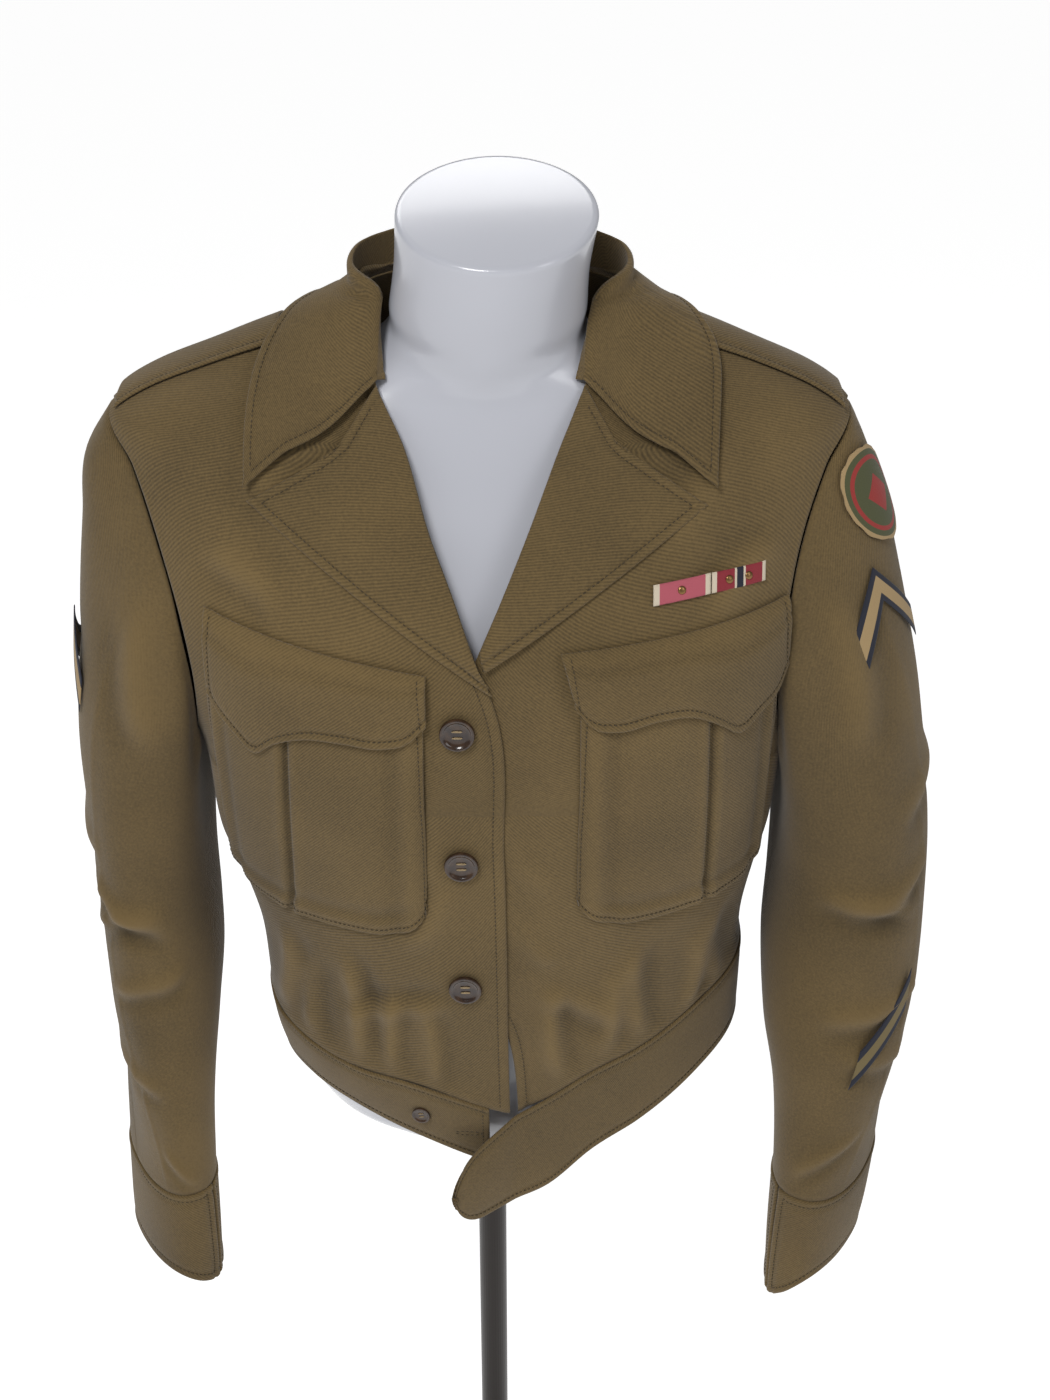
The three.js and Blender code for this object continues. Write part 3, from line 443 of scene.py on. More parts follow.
def sew_along(points, normals, edge, inset, keep_off):
    """Remembers a line of stitches at a distance inside one edge of the cloth."""
    if edge in ("first", "last"):
        points, normals = np.swapaxes(points, 0, 1), np.swapaxes(normals, 0, 1)
    if edge in ("last", "bottom"):
        points, normals = points[::-1], normals[::-1]
    reach = lengths(points, 0)
    line = []
    for c in range(points.shape[1]):
        row = int(clamp(np.searchsorted(reach[:, c], inset), 1, len(reach) - 1))
        gap = reach[row, c] - reach[row - 1, c]
        share = (inset - reach[row - 1, c]) / max(gap, 1e-6)
        spot = mix(points[row - 1, c], points[row, c], share)
        line.append(spot + normals[row, c] * 0.12)
    line = np.array(line)
    run = np.concatenate([[0], np.cumsum(np.linalg.norm(np.diff(line, axis=0), axis=1))])
    inside = (run >= keep_off[0]) & (run <= run[-1] - keep_off[1])
    if inside.sum() > 2:
        sewn_lines.append(in_metres(line[inside]))


def cloth(name, points, out_way, wall, relief=0.0, around=False, seams="", stitched="",
          inset=6.0, paint=None, keep_off=(2.0, 2.0), unit_uv=False):
    """A closed thin shell on a grid of points, with its creases, seams and topstitching."""
    normals = grid_normals(points, around)
    if np.sum(normals * out_way) < 0:
        normals = -normals
    near = edge_distances(points)
    rows, columns = points.shape[:2]
    lift = np.zeros((rows, columns)) + relief
    for edge in seams.split():
        lift = lift * (0.25 + 0.75 * smooth(near[edge] / 14)) - 1.2 * bell(near[edge], 2.2) + 0.35 * bell(near[edge] - 5, 2.5)
    for edge in stitched.split():
        lift = lift - 1.0 * bell(near[edge] - inset, 1.5) + 0.45 * bell(near[edge] - inset * 0.5, 1.8)
    outer = points + normals * lift[..., None]
    normals = grid_normals(outer, around)
    if np.sum(normals * out_way) < 0:
        normals = -normals
    for edge in stitched.split():
        sew_along(outer, normals, edge, inset, keep_off)
    inner = outer - normals * wall
    soft = np.zeros((rows, columns))
    soft[[0, -1]] = 1
    if not around:
        soft[:, [0, -1]] = 1
    soft = soft[..., None] * normals * wall * 0.3
    both = np.concatenate([(outer - soft).reshape(-1, 3), (inner + soft).reshape(-1, 3)])
    spots = np.arange(rows * columns).reshape(rows, columns)
    beside = np.roll(spots, -1, axis=1)
    last = columns if around else columns - 1
    a, b = spots[:-1, :last].ravel(), beside[:-1, :last].ravel()
    c, d = beside[1:, :last].ravel(), spots[1:, :last].ravel()
    under = rows * columns
    faces = np.concatenate([
        np.stack([a, b, c, d], axis=1),
        np.stack([d, c, b, a], axis=1) + under,
        np.stack([beside[0, :last], spots[0, :last], spots[0, :last] + under, beside[0, :last] + under], axis=1),
        np.stack([spots[-1, :last], beside[-1, :last], beside[-1, :last] + under, spots[-1, :last] + under], axis=1),
    ])
    if not around:
        faces = np.concatenate([
            faces,
            np.stack([spots[:-1, 0], spots[1:, 0], spots[1:, 0] + under, spots[:-1, 0] + under], axis=1),
            np.stack([spots[1:, -1], spots[:-1, -1], spots[:-1, -1] + under, spots[1:, -1] + under], axis=1),
        ])
    across = near["first"] - near["first"][:, columns // 2][:, None]
    uv = np.stack([across, -near["top"]], axis=-1).reshape(-1, 2) / 1000
    if unit_uv:
        share_across = near["first"] / near["first"][:, -1:]
        share_down = near["top"] / near["top"][-1:]
        uv = np.stack([share_across, share_down], axis=-1).reshape(-1, 2)
    # The relief heights also feed the wool's painted shade in creases, seams and grooves, and its painted light on
    # ridges.
    made = mesh_object(
        name, both, faces.tolist(), paint or WOOL,
        np.concatenate([uv, uv]), np.concatenate([lift.ravel(), lift.ravel()]),
    )
    cell = np.linalg.norm(np.cross(points[:-1, 1:] - points[:-1, :-1], points[1:, :-1] - points[:-1, :-1]), axis=2)
    width = float(near["first"][:, -1].max())
    if around:
        width += float(np.linalg.norm(points[:, 0] - points[:, -1], axis=1).max())
    length = float(near["top"][-1].max())
    area = float(cell.sum()) / 1e6
    made["cut"] = [width / 1000, length / 1000, min(area, width * length / 1e6)]
    return made


def declare(piece, nodes, held=None):
    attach(piece, "root")
    if nodes:
        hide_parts(*nodes)
    if held:
        width, length, area = piece["cut"]
        print("cut", piece.name, round(width, 3), round(length, 3), round(area, 4))
        area = max(area, 0.31 * width * length)


# ---------------------------------------------------------------- creases
def creases(x, up, lines):
    """Soft ridges, each with a shallower trough beside it.
    Each line: from x, level, to x, level, bow, width, height."""
    total = np.zeros(np.broadcast(x, up).shape)
    for x0, up0, x1, up1, bow, width, height in lines:
        dx, dup = x1 - x0, up1 - up0
        length = math.hypot(dx, dup)
        along = ((x - x0) * dx + (up - up0) * dup) / length ** 2
        share = clamp(along, 0, 1)
        off = ((x - x0) * dup - (up - up0) * dx) / length - bow * 4 * share * (1 - share)
        fade = smooth(along * 3.2) * smooth((1 - along) * 3.2)
        total += 1.35 * fade * height * (bell(off, width) - 0.7 * bell(off - 1.4 * width, width))
    return total


def unevenness(x, up, size=1.0):
    """The slow unevenness of worn wool: a few long waves that don't line up."""
    return size * (
        0.5 * np.sin(x / 41 + 1.3 * np.sin(up / 67))
        + 0.4 * np.sin(up / 53 + 1.1 * np.sin(x / 38 + 2))
        + 0.25 * np.sin((x + 0.7 * up) / 23 + 0.5)
        + 0.18 * np.sin((0.8 * x - up) / 17 + np.sin(up / 29))
    )


# ---------------------------------------------------------------- waistband line, fronts and back
right_band = Table([
    [-360, -405, 56, 3], [-315, -418, 56, 3], [-270, -428, 56, 3], [-225, -434, 55, 4],
    [-180, -437, 52, 8], [-145, -437, 47, 12], [-125, -442, 46, 12], [-106, -447, 53, 7],
    [-89, -468, 50, 2],
])
left_band = Table([
    [-88, -468, 78, 0], [-83, -456, 80, 0], [-73, -435, 70, 0], [-61, -422, 64, 0],
    [-41, -403, 62, 2], [0, -405, 56, 3],
])
front_edge = Table([
    [-560, 13, 22], [-470, 13, 19], [-378, 11, 10], [-330, 11, -8], [-250, 10, -20],
    [-140, 4, -18], [-108, -8, -5], [-75, -20, 10], [-44, -33, 24], [5, -51, 46],
    [31, -66, 59], [50, -74, 70], [72, -76, 78],
])
SIDES = ("right", "left")
HEM_LEVEL = -440
HEM_SLACK_LEVEL = -250
ARMHOLE_DEPTH = 216
ARMHOLE_ANGLE = math.radians(33)


def band_row(angle):
    degrees = np.degrees(angle)
    degrees = np.where(degrees > 0, degrees - 360, degrees)
    left, right = left_band(degrees), right_band(degrees)
    return [np.where(degrees > -88.5, a, b) for a, b in zip(left, right)]


def row_level(level, angle):
    share = (level - HEM_SLACK_LEVEL) / (HEM_LEVEL - HEM_SLACK_LEVEL)
    hem = mix(HEM_SLACK_LEVEL, band_row(angle)[0], share)
    return np.where(level >= HEM_SLACK_LEVEL, level, hem)


def armhole_angle(turn):
    return ARMHOLE_ANGLE * np.abs(np.sin(turn)) ** 0.8


def armhole_angle_at(level):
    turn = np.arccos(clamp(1 + 2 * level / ARMHOLE_DEPTH, -1, 1))
    return np.where((level < 0) & (level > -ARMHOLE_DEPTH), armhole_angle(turn), 0.0)


FRONT_CREASES = {
    "right": [
        (-150, -430, -138, -330, 6, 7, 3.2), (-122, -436, -120, -345, -5, 8, 2.6),
        (-92, -440, -98, -332, 5, 7, 3.4), (-66, -446, -60, -352, -4, 6, 2.4),
        (-38, -452, -44, -368, 3, 6, 2.6), (-15, -370, -104, -402, 8, 8, 2.2),
        (-22, -262, -60, -330, -6, 9, 1.8), (-168, -180, -178, -330, 5, 10, 2.6),
        (-176, -60, -120, -92, -6, 10, 2.0), (-150, 8, -96, -60, 5, 12, 1.5),
        (-30, -176, -34, -300, 3, 8, 1.2),
    ],
    "left": [
        (160, -404, 150, -320, -6, 8, 3.0), (132, -410, 136, -330, 5, 7, 2.8),
        (104, -416, 96, -326, -5, 8, 3.2), (76, -424, 80, -340, 4, 7, 2.4),
        (48, -440, 42, -352, -4, 7, 3.0), (26, -360, 92, -398, -7, 9, 2.0),
        (2, -200, 38, -286, 6, 10, 1.8), (180, -176, 176, -318, -6, 10, 2.4),
        (184, -58, 132, -96, 6, 11, 2.0), (146, 6, 102, -54, -5, 12, 1.4),
        (16, -300, 44, -340, 4, 8, 1.6),
    ],
}
BACK_CREASES = [
    (-150, -420, -142, -300, 6, 9, 3.2), (-112, -430, -104, -318, -6, 8, 3.0),
    (-70, -434, -76, -306, 5, 9, 3.4), (-30, -436, -26, -326, -4, 8, 2.6),
    (14, -434, 8, -300, 5, 9, 3.0), (52, -430, 60, -322, -5, 8, 3.2),
    (94, -424, 88, -304, 6, 9, 2.8), (136, -414, 142, -310, -5, 8, 3.0),
    (-150, -40, -120, -230, 8, 14, 2.8), (148, -44, 122, -226, -8, 14, 2.8),
    (-100, -70, 96, -88, 12, 16, 1.6), (-128, -206, -40, -262, 8, 13, 1.8),
    (122, -214, 30, -252, -8, 13, 1.6),
]


def body_levels():
    share = steps(NECK_LEVEL - HEM_LEVEL, 3.6)
    return mix(NECK_LEVEL, HEM_LEVEL, share)[:, None]


def front_panel(side):
    level = body_levels()
    inner = front_angle(front_edge(level)[SIDES.index(side)], level)
    cut = armhole_angle_at(level)
    outer = -math.pi + cut if side == "right" else -cut
    angle = mix(inner, outer, steps(290, 3.4)[None, :])
    up = row_level(level, angle)
    points = on_torso(angle, up)
    normals = torso_normal(angle, up)
    x = points[..., 0]
    if side == "left":
        lap = smooth((42 - x) / 20) * smooth((-50 - level) / 50)
        points = points - normals * (2.3 * lap)[..., None]
    relief = creases(x, up, FRONT_CREASES[side]) + unevenness(x, up, 0.8)
    relief = relief * (0.2 + 0.8 * smooth((80 - level) / 60))
    relief = relief * (0.35 + 0.65 * smooth((np.abs(x) - 16) / 26))
    return cloth(
        f"front_{side}", points, normals, CLOTH, relief,
        seams="last bottom", stitched="first", inset=7, keep_off=(190.0, 4.0),
    )


def back_panel():
    level = body_levels()
    cut = armhole_angle_at(level)
    angle = mix(cut, math.pi - cut, steps(560, 3.6)[None, :])
    up = row_level(level, angle - 2 * math.pi)
    points = on_torso(angle, up)
    x = points[..., 0]
    relief = creases(x, up, BACK_CREASES) + unevenness(x + 60, up + 30, 0.9)
    relief = relief * (0.2 + 0.8 * smooth((78 - level) / 60))
    return cloth("back", points, torso_normal(angle, up), CLOTH, relief, seams="first last bottom")


def band_spots(degrees, share):
    angle = np.radians(degrees)
    top, height, tuck = band_row(angle)
    up = top + 1.6 - (height + 1.6) * share
    out = 0.8 - tuck * share ** 1.5
    return on_torso(angle, up, out), torso_normal(angle, up)


def hem_angle(side):
    x = front_edge(np.array(float(HEM_LEVEL)))[SIDES.index(side)]
    return math.degrees(float(front_angle(x, np.array(float(HEM_LEVEL)))))


def waistband(name, start, end, length, stitched):
    degrees = mix(start, end, steps(length, 3.4))[None, :]
    share = steps(54, 3.2)[:, None]
    points, normals = band_spots(degrees, share)
    along = np.radians(degrees) * 150
    relief = 0.35 * np.sin(along / 17 + 2 * share) + 0.25 * np.sin(along / 7.3 + 1.2) * bell(share - 0.1, 0.4)
    return cloth(name, points, normals, DOUBLE_CLOTH, relief, stitched=stitched, inset=5)


TAB_LENGTH = 55
TAB_ROUND = 26


def left_waistband():
    share = steps(70, 3.2)[:, None]
    degrees = mix(0, hem_angle("left"), steps(290, 3.4)[:-2])[None, :]
    body, normals = band_spots(degrees, share)
    end_degrees = np.array([[hem_angle("left")]])
    top = band_spots(end_degrees, np.array([[0.0]]))[0][0, 0]
    low = band_spots(end_degrees, np.array([[1.0]]))[0][0, 0]
    portion = np.sin(np.linspace(0.03, 1, 26) * math.pi / 2)[None, :]
    reach = portion * TAB_LENGTH
    from_round = clamp(1 - (TAB_LENGTH - reach) / TAB_ROUND, 0, 1)
    squeeze = mix(share, 0.46, (1 - np.sqrt(1 - from_round ** 2)) * 0.8)
    tail = top + (low - top) * squeeze[..., None]
    tail[..., 0] -= 0.8 * reach
    belly = 3 * np.sin(math.pi * portion) * (1.2 - (2 * share - 1) ** 2)
    tail[..., 1] -= 0.3 * reach + belly + 3 * portion ** 3
    tail[..., 2] -= 0.62 * reach * mix(1, 0.45, share)
    points = np.concatenate([body, tail], axis=1)
    ways = np.concatenate([normals, np.repeat(normals[:, -1:], tail.shape[1], axis=1)], axis=1)
    return cloth("waistband_left", points, ways, DOUBLE_CLOTH, 0.0, stitched="top bottom", inset=5)


# ---------------------------------------------------------------- lapels, collar, shoulder loops
LAPELS = {
    "right": dict(foot=-110, foot_x=3, foot_edge=-133, tip=(-143, -31), notch=(-89, -3), top=30),
    "left": dict(foot=-106, foot_x=-1, foot_edge=-118, tip=(132, -33), notch=(77, 1), top=30),
}


def lapel(side):
    shape = LAPELS[side]
    u = steps(90, 2.6)[None, :]
    v = steps(150, 2.6)[:, None]
    roll_level = mix(shape["foot"], shape["top"], v)
    roll_x = front_edge(roll_level)[SIDES.index(side)]
    edge_x = mix(shape["foot_x"], shape["tip"][0], v)
    edge_level = mix(shape["foot_edge"], shape["tip"][1], v)
    x = mix(roll_x, edge_x, u)
    level = mix(roll_level, edge_level, u)
    gorge = np.where(u < 0.33, u / 0.33, (1 - u) / 0.67)
    bend = gorge * v ** 3
    x = x + (shape["notch"][0] - mix(roll_x, edge_x, 0.33)) * bend
    level = level + (shape["notch"][1] - mix(roll_level, edge_level, 0.33)) * bend
    out = 2.3 + 2.2 * np.sin(math.pi * u ** 0.7) + 0.5 * unevenness(x, level)
    points = on_front(x, level, out)
    return cloth(
        f"lapel_{side}", points, torso_normal(front_angle(x, level), level), CLOTH,
        stitched="last bottom", inset=6, keep_off=(8.0, 6.0),
    )


# along, seam x y level, fold x y level, edge x y level, mirror line
collar = Table([
    [0.0, -60, -45, 34, -65, -49, 35, -145, -80, -21, -3.5],
    [0.14, -63, -26, 52, -64, -27, 60, -143, -52, 12, -2],
    [0.28, -64, -8, 66, -61.5, -7, 80, -135, -20, 44, 2],
    [0.42, -64, 12, 72, -61, 14, 94, -113, 14, 60, 4],
    [0.58, -59, 36, 70, -54, 38, 97, -92, 48, 55, 5],
    [0.78, -38, 58, 68, -34, 59, 98, -56, 82, 50, 4],
    [1.0, 4, 66, 67, 4, 67, 98, 4, 96, 47, 4],
])


def collar_piece():
    along = steps(480, 3.0)[None, :]
    t = np.concatenate([np.linspace(-1, -0.06, 12), np.linspace(0, 1, 26)[:-1], [0.99, 1]])[:, None]
    near_middle = 1 - np.abs(1 - 2 * along)
    sx, sy, sz, fx, fy, fz, ex, ey, ez, middle = collar(near_middle)
    size = np.abs(t)
    x = mix(fx, np.where(t < 0, sx, ex), size)
    y = mix(fy, np.where(t < 0, sy, ey), size)
    z = mix(fz, np.where(t < 0, sz, ez), size)
    fall = clamp(t, 0, 1)
    front = 1 - smooth(near_middle / 0.3)
    run = np.hypot(fx - middle, fy)
    push = 2.4 * np.minimum(1, fall / 0.12) * (1 - fall)
    x = x + (fx - middle) / run * push
    y = y + fy / run * push
    z = z - 9 * front * np.sin(math.pi * np.minimum(1, fall * 1.5) ** 0.9)
    x = np.where(along > 0.5, 2 * middle - x, x)
    points = np.stack(np.broadcast_arrays(x, y, z), axis=-1)
    clearance = np.where(t > 0, 2.2 + 3.8 * smooth(t / 0.06), 2.2) + 0 * along
    points = keep_clear(points, clearance)
    away = points - np.array([2.0, 8.0, 0.0])
    away[..., 2] = 0
    away = away * np.where(t > 0, 1, -1)[..., None]
    relief = 0.35 * unevenness(480 * along, 80 * t) * smooth(t / 0.3)
    return cloth("collar", points, away, CLOTH, relief, stitched="bottom first last", inset=6,
                 keep_off=(7.0, 7.0))


def shoulder_loop(side):
    sign = -1 if side == "right" else 1
    u = steps(104, 2.4)[None, :]
    v = steps(48, 2.4)[:, None]
    middle_x = float(torso(np.array(0.0))[3])
    x = middle_x + sign * mix(122, 224, u) + 0 * v
    y = SHOULDER_SEAM_Y + mix(-24, 24, v) * mix(1, 0.92, u)
    low, high = np.full(x.shape, -60.0), np.full(x.shape, float(NECK_LEVEL))
    for _ in range(26):
        middle = (low + high) / 2
        inside = torso_reach(np.stack([x, y, middle], axis=-1)) < 0
        low, high = np.where(inside, middle, low), np.where(inside, high, middle)
    points = np.stack([x, y, low], axis=-1)
    normals = torso_clearance(points)[1]
    points = points + normals * 3.2
    relief = 0.25 * unevenness(x, 3 * y)
    return cloth(f"shoulder_loop_{side}", points, normals, 2.0, relief, stitched="top bottom", inset=5)


# ---------------------------------------------------------------- sleeves and cuffs
# level, x, y, half wide, half deep, twist, squareness
sleeve_tables = {
    "right": Table([
        [-680, 236, -88, 25, 46, 32, 2.2], [-600, 238, -74, 26, 52, 30, 2.2],
        [-545, 238, -62, 27, 54, 26, 2.3], [-500, 237, -51, 30, 58, 18, 2.4],
        [-460, 234, -41, 34, 62, 9, 2.6], [-420, 232, -32, 37, 66, 2, 2.8],
        [-373, 233, -24, 37.5, 69, 0, 2.8], [-324, 235, -18, 37, 72, 0, 2.6],
        [-258, 237.5, -10, 36, 76, 0, 2.4], [-213, 239, -3, 36, 78, 0, 2.3],
        [-166, 238.5, 3, 35, 79, 0, 2.3], [-110, 236.5, 7, 33, 74, 0, 2.2],
        [-67, 234, 8, 31, 62, 0, 2.2], [-25, 231, 8, 27, 38, 0, 2], [0, 226, 8, 16, 17, 0, 2],
    ]),
    "left": Table([
        [-680, 232, -88, 24, 44, 32, 2.2], [-640, 238, -80, 26, 50, 32, 2.2],
        [-600, 242, -72, 30, 54, 30, 2.2], [-545, 246, -60, 34, 60, 24, 2.3],
        [-494, 247, -48, 41, 64, 14, 2.4], [-445, 245, -38, 50, 68, 4, 2.5],
        [-394, 247, -27, 54, 71, 0, 2.5], [-345, 249, -19, 53, 73, 0, 2.4],
        [-264, 249, -8, 48, 77, 0, 2.3], [-216, 246, -1, 44, 79, 0, 2.3],
        [-169, 243, 4, 40, 79, 0, 2.3], [-110, 236, 7, 33.5, 74, 0, 2.2],
        [-67, 230, 8, 28, 62, 0, 2.2], [-25, 222, 8, 19, 38, 0, 2], [0, 217, 8, 12, 17, 0, 2],
    ]),
}
SLEEVE_END = {"right": -560, "left": -562}


def sleeve_ring(side, turn, up):
    cx, cy, wide, deep, twist, square = sleeve_tables[side](up)
    across = wide * signed_power(np.cos(turn), 2 / square)
    ahead = deep * signed_power(np.sin(turn), 2 / square)
    twist = np.radians(twist)
    x = cx + across * np.cos(twist) - ahead * np.sin(twist)
    y = cy - ahead * np.cos(twist) - across * np.sin(twist)
    return np.stack([-x if side == "right" else x, y, up + 0 * x], axis=-1)


def armhole(side, turn):
    angle = armhole_angle(turn)
    level = -ARMHOLE_DEPTH * (1 - np.cos(turn)) / 2
    fore = np.where(np.sin(turn) >= 0, -angle, angle)
    return torso_point(math.pi - fore if side == "right" else fore, level)


def sleeve_point(side, turn, t):
    turn, t = np.broadcast_arrays(np.asarray(turn, float), np.asarray(t, float))
    start = armhole(side, turn)
    up = mix(start[..., 2], SLEEVE_END[side], t)
    fade = (1 - smooth(t / 0.5)) ** 1.6
    return sleeve_ring(side, turn, up) + (start - sleeve_ring(side, turn, start[..., 2])) * fade[..., None]


def sleeve_normal(side, turn, t):
    t = np.maximum(t, 0.01)
    across = sleeve_point(side, turn + 0.02, t) - sleeve_point(side, turn - 0.02, t)
    down = sleeve_point(side, turn, t + 0.008) - sleeve_point(side, turn, t - 0.008)
    return unit(np.cross(across, down)) * (-1 if side == "right" else 1)


# turn in degrees (0 outer side, 90 front, 180 inner side), level
SLEEVE_CREASES = {
    "right": [
        (30, -300, 120, -346, 6, 8, 3.0), (20, -352, 118, -330, -7, 8, 2.6),
        (40, -392, 130, -372, 5, 7, 2.4), (-20, -250, 60, -286, 6, 10, 2.2),
        (60, -96, 96, -210, 8, 10, 2.4), (110, -120, 150, -240, -6, 9, 2.6),
        (-40, -60, -10, -190, 6, 13, 1.8), (10, -440, 90, -470, 5, 8, 2.0),
        (250, -90, 228, -240, 8, 12, 2.6), (200, -250, 300, -300, -8, 12, 2.4),
        (210, -340, 300, -372, 7, 11, 2.2), (270, -420, 220, -470, -5, 10, 2.0),
        (56, -516, 104, -556, 4, 6, 1.6),
    ],
    "left": [
        (24, -286, 110, -330, 7, 9, 2.8), (36, -338, 128, -318, -6, 8, 2.8),
        (20, -388, 116, -410, 6, 9, 2.6), (-10, -232, 70, -262, -6, 10, 2.2),
        (58, -88, 84, -214, 7, 10, 2.4), (106, -110, 148, -236, -7, 9, 2.4),
        (-36, -70, -16, -200, -6, 13, 1.8), (16, -446, 96, -436, 5, 8, 2.0),
        (254, -96, 232, -232, -8, 12, 2.4), (204, -262, 296, -288, 8, 12, 2.6),
        (214, -352, 304, -380, -7, 11, 2.2), (268, -430, 224, -478, 5, 10, 2.0),
        (40, -500, 110, -548, -4, 7, 1.8),
    ],
}


def sleeve(side):
    turn = np.linspace(0, 2 * math.pi, 121)[None, :-1]
    t = steps(480, 3.4)[:, None]
    points = sleeve_point(side, turn, t)
    normals = sleeve_normal(side, turn + 0 * t, t + 0 * turn)
    degrees = np.degrees(turn) + 0 * t
    up = points[..., 2]
    relief = 0
    for shift in (-360, 0):
        relief = relief + creases((degrees + shift) * 1.1, up, [
            (a * 1.1, b, c * 1.1, d, e, f, g) for a, b, c, d, e, f, g in SLEEVE_CREASES[side]
        ])
    relief = relief + 0.9 * unevenness(120 * np.sin(turn), up, 1.0)
    relief = relief + 0.9 * bell(degrees - (52 if side == "right" else 40), 2.2) * smooth((-60 - up) / 80)
    relief = relief - 1.6 * bell(degrees - 20, 14) * bell(up + 150, 16) * (side == "right")
    relief = relief * smooth(t / 0.06) * (0.4 + 0.6 * smooth((1 - t) / 0.05))
    return cloth(f"sleeve_{side}", points, normals, CLOTH, relief, around=True, seams="top bottom")


CUFF_HEIGHT = 66
CUFF_OPEN = 118
CUFF_DROOP = {"right": 14, "left": 30}


def cuff(side):
    degrees = CUFF_OPEN + 1.5 + steps(270, 3.0)[None, :] * 357
    v = steps(CUFF_HEIGHT, 3.0)[:, None]
    turn = np.radians(degrees) + 0 * v
    up = SLEEVE_END[side] + 1.8 - (CUFF_HEIGHT + 1.8) * v + 0 * turn
    across = sleeve_ring(side, turn + 0.02, up) - sleeve_ring(side, turn - 0.02, up)
    down = sleeve_ring(side, turn, up + 1) - sleeve_ring(side, turn, up - 1)
    normals = unit(np.cross(across, down)) * (1 if side == "right" else -1)
    from_end = np.minimum(degrees - CUFF_OPEN, CUFF_OPEN + 360 - degrees)
    points = sleeve_ring(side, turn, up) + normals * 0.9
    points[..., 2] -= CUFF_DROOP[side] * bell(from_end, 46) * v
    relief = 0.5 * np.sin(np.radians(degrees) * 3 + 4 * v) * v
    return cloth(f"cuff_{side}", points, normals, DOUBLE_CLOTH, relief,
                 stitched="top bottom first last", inset=6, keep_off=(5.0, 5.0))


# ---------------------------------------------------------------- pockets and flaps
POCKETS = {
    "right": dict(inner=-38, outer=-174, top=-140, bottom=-314, pleat=-110),
    "left": dict(inner=56, outer=180, top=-140, bottom=-307, pleat=124),
}
CORNER = 26


def pocket(side):
    shape = POCKETS[side]
    width = abs(shape["outer"] - shape["inner"])
    pleat = (shape["pleat"] - shape["inner"]) / (shape["outer"] - shape["inner"])
    u = np.sort(np.concatenate([steps(width, 2.8), pleat + np.linspace(-7, 7, 12) / width]))[None, :]
    v = steps(174, 3.0)[:, None]
    level_across = mix(shape["top"], shape["bottom"], v)
    angle = mix(front_angle(shape["inner"], level_across), front_angle(shape["outer"], level_across), u)
    from_side = np.minimum(u, 1 - u) * width
    inside = clamp(1 - from_side / CORNER, 0, 1)
    bottom = shape["bottom"] + (1 - np.sqrt(1 - inside ** 2)) * CORNER * 0.9
    level = mix(shape["top"], bottom, v)
    off = (u - pleat) * width
    full = 4.5 * np.sin(math.pi * clamp(u, 0, 1)) ** 0.6 * np.sin(math.pi * mix(0.25, 0.95, v))
    side_fold = 1.4 * bell(from_side - 7, 3.5) - 1.3 * bell(from_side - 15, 4)
    under_fold = 1.2 * bell((1 - v) * 174 - 8, 4) - 1.0 * bell((1 - v) * 174 - 17, 5)
    pleat_fold = -3.6 * bell(off, 1.8) + 0.9 * bell(np.abs(off) - 6, 3)
    x = mix(shape["inner"], shape["outer"], u) + 0 * v
    relief = side_fold + pleat_fold + under_fold * smooth(from_side / 20) + 0.45 * unevenness(x, level)
    relief = relief * smooth(from_side / 5)
    points = on_torso(angle, level, 2.5 + full)
    return cloth(f"pocket_{side}", points, torso_normal(angle, level), CLOTH, relief,
                 stitched="bottom first last", inset=4.5, keep_off=(3.0, 3.0))


FLAPS = {
    "right": dict(inner=-36, outer=-171, top_inner=-120, top_outer=-94, slant=0, edge=Table([
        [0, -152], [0.06, -163], [0.14, -167], [0.3, -165], [0.45, -165], [0.6, -173],
        [0.7, -183], [0.8, -174], [0.93, -160], [1, -150],
    ])),
    "left": dict(inner=44, outer=184, top_inner=-107, top_outer=-93, slant=9, edge=Table([
        [0, -142], [0.06, -154], [0.14, -157], [0.3, -152], [0.44, -153], [0.56, -163],
        [0.66, -173], [0.78, -165], [0.93, -153], [1, -140],
    ])),
}


def flap(side):
    shape = FLAPS[side]
    u = steps(138, 2.6)[None, :]
    v = steps(66, 2.6)[:, None]
    slant = shape["slant"] * (1 - u) * v
    top = mix(shape["top_inner"], shape["top_outer"], u)
    level = mix(top, shape["edge"](u)[0], v)
    start = front_angle(shape["inner"] + slant, level)
    angle = mix(start, front_angle(shape["outer"] + 0 * level, level), u)
    full = mix(5.8, 10.2, np.sin(math.pi * u) ** 0.6)
    out = mix(2.6, full, smooth(v / 0.3))
    x = mix(shape["inner"], shape["outer"], u)
    welt = 1.0 * bell((v - 0.1) * 66, 4) - 0.9 * bell((v - 0.24) * 66, 2.2)
    relief = welt + 0.4 * unevenness(x, level)
    points = on_torso(angle, level, out)
    return cloth(f"flap_{side}", points, torso_normal(angle, level), 2.0, relief,
                 stitched="bottom first last", inset=5.5, keep_off=(4.0, 4.0))


# ---------------------------------------------------------------- buttons
def lathe(profile, count=48):
    turn = np.linspace(0, 2 * math.pi, count, endpoint=False)
    rings = [np.stack([r * np.cos(turn), r * np.sin(turn), 0 * turn + h], axis=1) for r, h in profile]
    points = np.concatenate(rings)
    faces = []
    for ring in range(len(profile) - 1):
        for c in range(count):
            beside = (c + 1) % count
            base = ring * count
            faces.append([base + c, base + beside, base + count + beside, base + count + c])
    faces.append(list(range(count))[::-1])
    faces.append([(len(profile) - 1) * count + c for c in range(count)])
    return points, faces


def placed(points, spot, normal):
    turn = Vector((0, 0, 1)).rotation_difference(Vector(normal)).to_matrix()
    return points @ np.array(turn).T + spot


